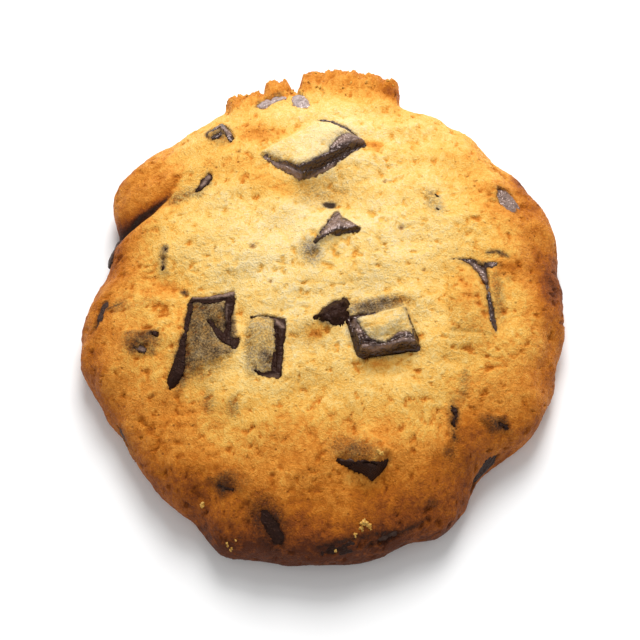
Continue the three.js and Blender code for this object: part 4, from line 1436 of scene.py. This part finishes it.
class COOKIE_OT_top_chunks(bpy.types.Operator):
    """Makes each chunk of chocolate in the top of the cookie"""

    bl_idname = "cookie.top_chunks"
    bl_label = "Chunks in the top"

    def execute(self, context):
        for chunk in TOP_CHUNKS:
            material = chunk_material(chunk.name)
            points, faces = top_chunk_mesh(chunk)
            name = chunk.name.replace("chunk_", "chocolate_")
            piece = new_piece(name, points, faces, material, (chunk.name,))
            # Painted light: faces and ridges lit by the key light are painted lighter, mixed with greyish
            # bloom
            if chunk.painted_light_marks:
                painted_light_marks = stroke_depth(points[:, 0], points[:, 1], chunk.painted_light_marks)
                add_field(piece, "bloom_and_painted_light", smooth(painted_light_marks, -0.35, 0.25))
        return {"FINISHED"}


def rounded_block(cells, sharpness):
    """A unit cube's surface as a welded grid, pulled towards a ball by a superellipsoid rule."""
    u, v = square_grid(-1.0, 1.0, cells + 1)
    one = np.ones_like(u)
    sides = [(u, v, one), (v, u, -one), (one, u, v), (-one, v, u), (v, one, u), (u, -one, v)]
    points = np.concatenate([np.stack(s, -1).reshape(-1, 3) for s in sides])
    faces = np.concatenate([grid_faces(cells + 1) + i * (cells + 1) ** 2 for i in range(len(sides))])
    _, first, again = np.unique(np.round(points, 6), axis=0, return_index=True, return_inverse=True)
    points = points[first]
    size = (np.abs(points) ** sharpness).sum(1, keepdims=True) ** (1.0 / sharpness)
    return points / size, again.reshape(-1)[faces]


def rim_chunk_points(chunk, block):
    """Stretches and tapers a block, bends it with the rim, sets it in the crust and roughens it."""
    middle, axes = rim_frame(chunk)
    along, up, outward = axes
    long, wide, deep = chunk.size
    local = block * (long / 2, wide / 2, deep / 2)
    local[:, 0] *= 1.0 - RIM_TAPER * block[:, 0] * block[:, 1]
    bend = local[:, :1] ** 2 / (2.0 * RIM_BEND)
    points = middle + local[:, :1] * along + local[:, 1:2] * up
    points = points + (local[:, 2:] + chunk.out - RIM_SUNK - deep / 2 - bend) * outward
    bump = RIM_ROUGH * layered_noise(points, *KNOBBLY)
    away = local / np.linalg.norm(local, axis=1, keepdims=True)
    return points + bump[:, None] * away @ axes


class COOKIE_OT_rim_chunks(bpy.types.Operator):
    """Makes each chunk of chocolate in the rim: rounded blocks, square to the crust"""

    bl_idname = "cookie.rim_chunks"
    bl_label = "Chunks in the rim"

    def execute(self, context):
        block, faces = rounded_block(*RIM_BLOCK)
        for chunk in RIM_CHUNKS:
            points = rim_chunk_points(chunk, block)
            name = chunk.name.replace("rim_", "rim_chocolate_")
            material = chunk_material(chunk.name)
            piece = new_piece(name, points, faces.tolist(), material, (chunk.name,))
            # Painted light on the rim chunk, a painted highlight where it is strong, mixed with greyish
            # bloom
            painted_light_marks = chunk.painted_light_marks * (1.0 + 0.4 * gradient_noise(points / 1.5, PAINTED_LIGHT_SEED))
            add_field(piece, "bloom_and_painted_light", np.clip(painted_light_marks, 0.0, 1.0))
        return {"FINISHED"}


def crust_height(x, y):
    """Height of the crust over a place in plan, without its fine grain."""
    dome = dome_height(x, y)
    lift, _, _ = dough_lift(x, y)
    return dome + slow_lumps(x, y, dome) + common_relief(x, y) + lift


def single_crumbs(rng):
    """Places and sizes of the crumbs that show one by one, each a small cluster."""
    crumbs = np.repeat(np.array(CRUMBS), CRUMB_CLUSTER, axis=0)
    crumbs[:, :2] += rng.normal(size=(len(crumbs), 2)) * CRUMB_SCATTER * crumbs[:, 2:]
    crumbs[:, 2] *= rng.uniform(*CRUMB_SHRINK, len(crumbs))
    x, y, size = crumbs.T
    return np.stack([x, y, crust_height(x, y), size], axis=-1)


def ledge_crumbs(rng):
    """Places and sizes of crumbs strewn on the broken ledge."""
    first, last = STREWN_ANGLES
    angle = rng.uniform(math.radians(first), math.radians(last), STREWN)
    ways = np.linspace(0.0, 1.0, WAY_STEPS)
    way = np.interp(-rng.uniform(*STREWN_HEIGHTS, STREWN), -section_at(ways)[2], ways)
    lying, _ = crust_points(angle, way)
    return np.c_[lying, rng.uniform(*STREWN_SIZES, STREWN)]


class COOKIE_OT_crumbs(bpy.types.Operator):
    """Strews crumbs on the crust: lumpy balls of a few dozen faces, all in one mesh"""

    bl_idname = "cookie.crumbs"
    bl_label = "Crumbs"

    def execute(self, context):
        rng = np.random.default_rng(CRUMB_SEED)
        ball, faces = rounded_block(*CRUMB_BALL)
        strewn = ledge_crumbs(rng)
        single = single_crumbs(rng)
        points, quads = [], []
        for i, (x, y, z, size) in enumerate(np.concatenate([single, strewn])):
            turn, _ = np.linalg.qr(rng.normal(size=(3, 3)))
            stretch = size * rng.uniform(*CRUMB_STRETCH, 3)
            lump = ball * (1.0 + 0.75 * gradient_noise(ball * 2.1 + i * 3.7, LUMP_SEED))[:, None]
            points.append((lump * stretch) @ turn + (x, y, z + 0.2 * size))
            quads.append((faces if np.linalg.det(turn) > 0 else faces[:, ::-1]) + i * len(ball))
        material = bpy.data.materials["baked_crust"]
        faces = np.concatenate(quads).tolist()
        crumb = new_piece("crumbs", np.concatenate(points), faces, material)
        bake = np.r_[np.full(len(single), SINGLE_BAKE), np.full(len(strewn), STREWN_BAKE)]
        add_field(crumb, "bake", np.repeat(bake, len(ball)))
        return {"FINISHED"}


def aim(holder, target):
    """Turns an object so that it looks at a point, its own up staying upright."""
    look = Vector(target) - holder.location
    holder.rotation_euler = look.to_track_quat("-Z", "Y").to_euler()


def area_light(name, power, size, place):
    """A square area light aimed at the cookie; size and place in metres."""
    light = bpy.data.lights.new(name, "AREA")
    light.energy = power
    light.size = size
    holder = bpy.data.objects.new(name, light)
    bpy.context.scene.collection.objects.link(holder)
    holder.location = place
    aim(holder, LIT_POINT)


def add_floor():
    """A pale floor, just under the cookie's foot."""
    colours = bpy.context.scene.cookie_colours
    u, v = square_grid(-FLOOR_REACH, FLOOR_REACH, FLOOR_SIDE)
    points = at_places(u, v, -FLOOR_GAP).reshape(-1, 3)
    mesh = bpy.data.meshes.new("floor")
    mesh.from_pydata(points.tolist(), [], grid_faces(FLOOR_SIDE).tolist())
    floor = bpy.data.objects.new("floor", mesh)
    bpy.context.scene.collection.objects.link(floor)
    material, tree, shader = material_tree("studio_floor")
    feed(tree, shader.inputs["Base Color"], colour(colours.floor))
    feed(tree, shader.inputs["Roughness"], FLOOR_ROUGHNESS)
    feed(tree, shader.inputs["Specular IOR Level"], FLOOR_SPECULAR)
    mesh.materials.append(material)


def add_sky(strength):
    """Even white light from all around."""
    world = bpy.data.worlds.new("studio_sky")
    world.use_nodes = True
    background = world.node_tree.nodes["Background"]
    background.inputs["Color"].default_value = colour((1.0, 1.0, 1.0))
    background.inputs["Strength"].default_value = strength
    bpy.context.scene.world = world


def add_camera(studio):
    """The camera, in front of the cookie and over it."""
    camera = bpy.data.cameras.new("camera")
    camera.lens = CAMERA_LENS
    camera.sensor_width = CAMERA_SENSOR
    camera.clip_start = CAMERA_CLIP
    holder = bpy.data.objects.new("camera", camera)
    bpy.context.scene.collection.objects.link(holder)
    target = ((MIDDLE_SHIFT[0] + LOOK_SHIFT[0]) * MM, (MIDDLE_SHIFT[1] + LOOK_SHIFT[1]) * MM, LOOK_HEIGHT)
    back = studio.distance * math.cos(studio.elevation)
    up = studio.distance * math.sin(studio.elevation)
    holder.location = (target[0], target[1] - back, target[2] + up)
    aim(holder, target)
    bpy.context.scene.camera = holder


class COOKIE_OT_studio(bpy.types.Operator):
    """Makes the pale floor, the lights and the camera"""

    bl_idname = "cookie.studio"
    bl_label = "Studio"

    def execute(self, context):
        studio = context.scene.cookie_studio
        context.scene.view_settings.view_transform = "Standard"
        context.scene.view_settings.look = "None"
        add_floor()
        add_sky(studio.sky)
        area_light("key_light", studio.key_power, *KEY_LIGHT)
        area_light("glint_light", studio.glint_power, *GLINT_LIGHT)
        area_light("fill_light", studio.fill_power, *FILL_LIGHT)
        add_camera(studio)
        return {"FINISHED"}


class COOKIE_PT_panel(bpy.types.Panel):
    """Lists the cookie's sizes, colours and parts"""

    bl_idname = "COOKIE_PT_panel"
    bl_label = "Chocolate Chip Cookie"
    bl_space_type = "VIEW_3D"
    bl_region_type = "UI"
    bl_category = "Cookie"

    def draw(self, context):
        for name in GROUPS:
            group = getattr(context.scene, name)
            box = self.layout.box()
            for value in group.__annotations__:
                box.prop(group, value)
        for operator in PARTS:
            self.layout.operator(operator.bl_idname)


PARTS = (
    COOKIE_OT_dough, COOKIE_OT_top_chunks, COOKIE_OT_rim_chunks, COOKIE_OT_crumbs, COOKIE_OT_studio,
)
GROUPS = {"cookie_shape": CookieShape, "cookie_colours": CookieColours, "cookie_studio": CookieStudio}
CLASSES = (*GROUPS.values(), *PARTS, COOKIE_PT_panel)


def register():
    for cls in CLASSES:
        bpy.utils.register_class(cls)
    for name, group in GROUPS.items():
        setattr(bpy.types.Scene, name, bpy.props.PointerProperty(type=group))


def unregister():
    for name in GROUPS:
        delattr(bpy.types.Scene, name)
    for cls in reversed(CLASSES):
        bpy.utils.unregister_class(cls)


def main():
    register()
    bpy.ops.cookie.dough()
    bpy.ops.cookie.top_chunks()
    bpy.ops.cookie.rim_chunks()
    bpy.ops.cookie.crumbs()
    bpy.ops.cookie.studio()


if __name__ == "__main__":
    main()
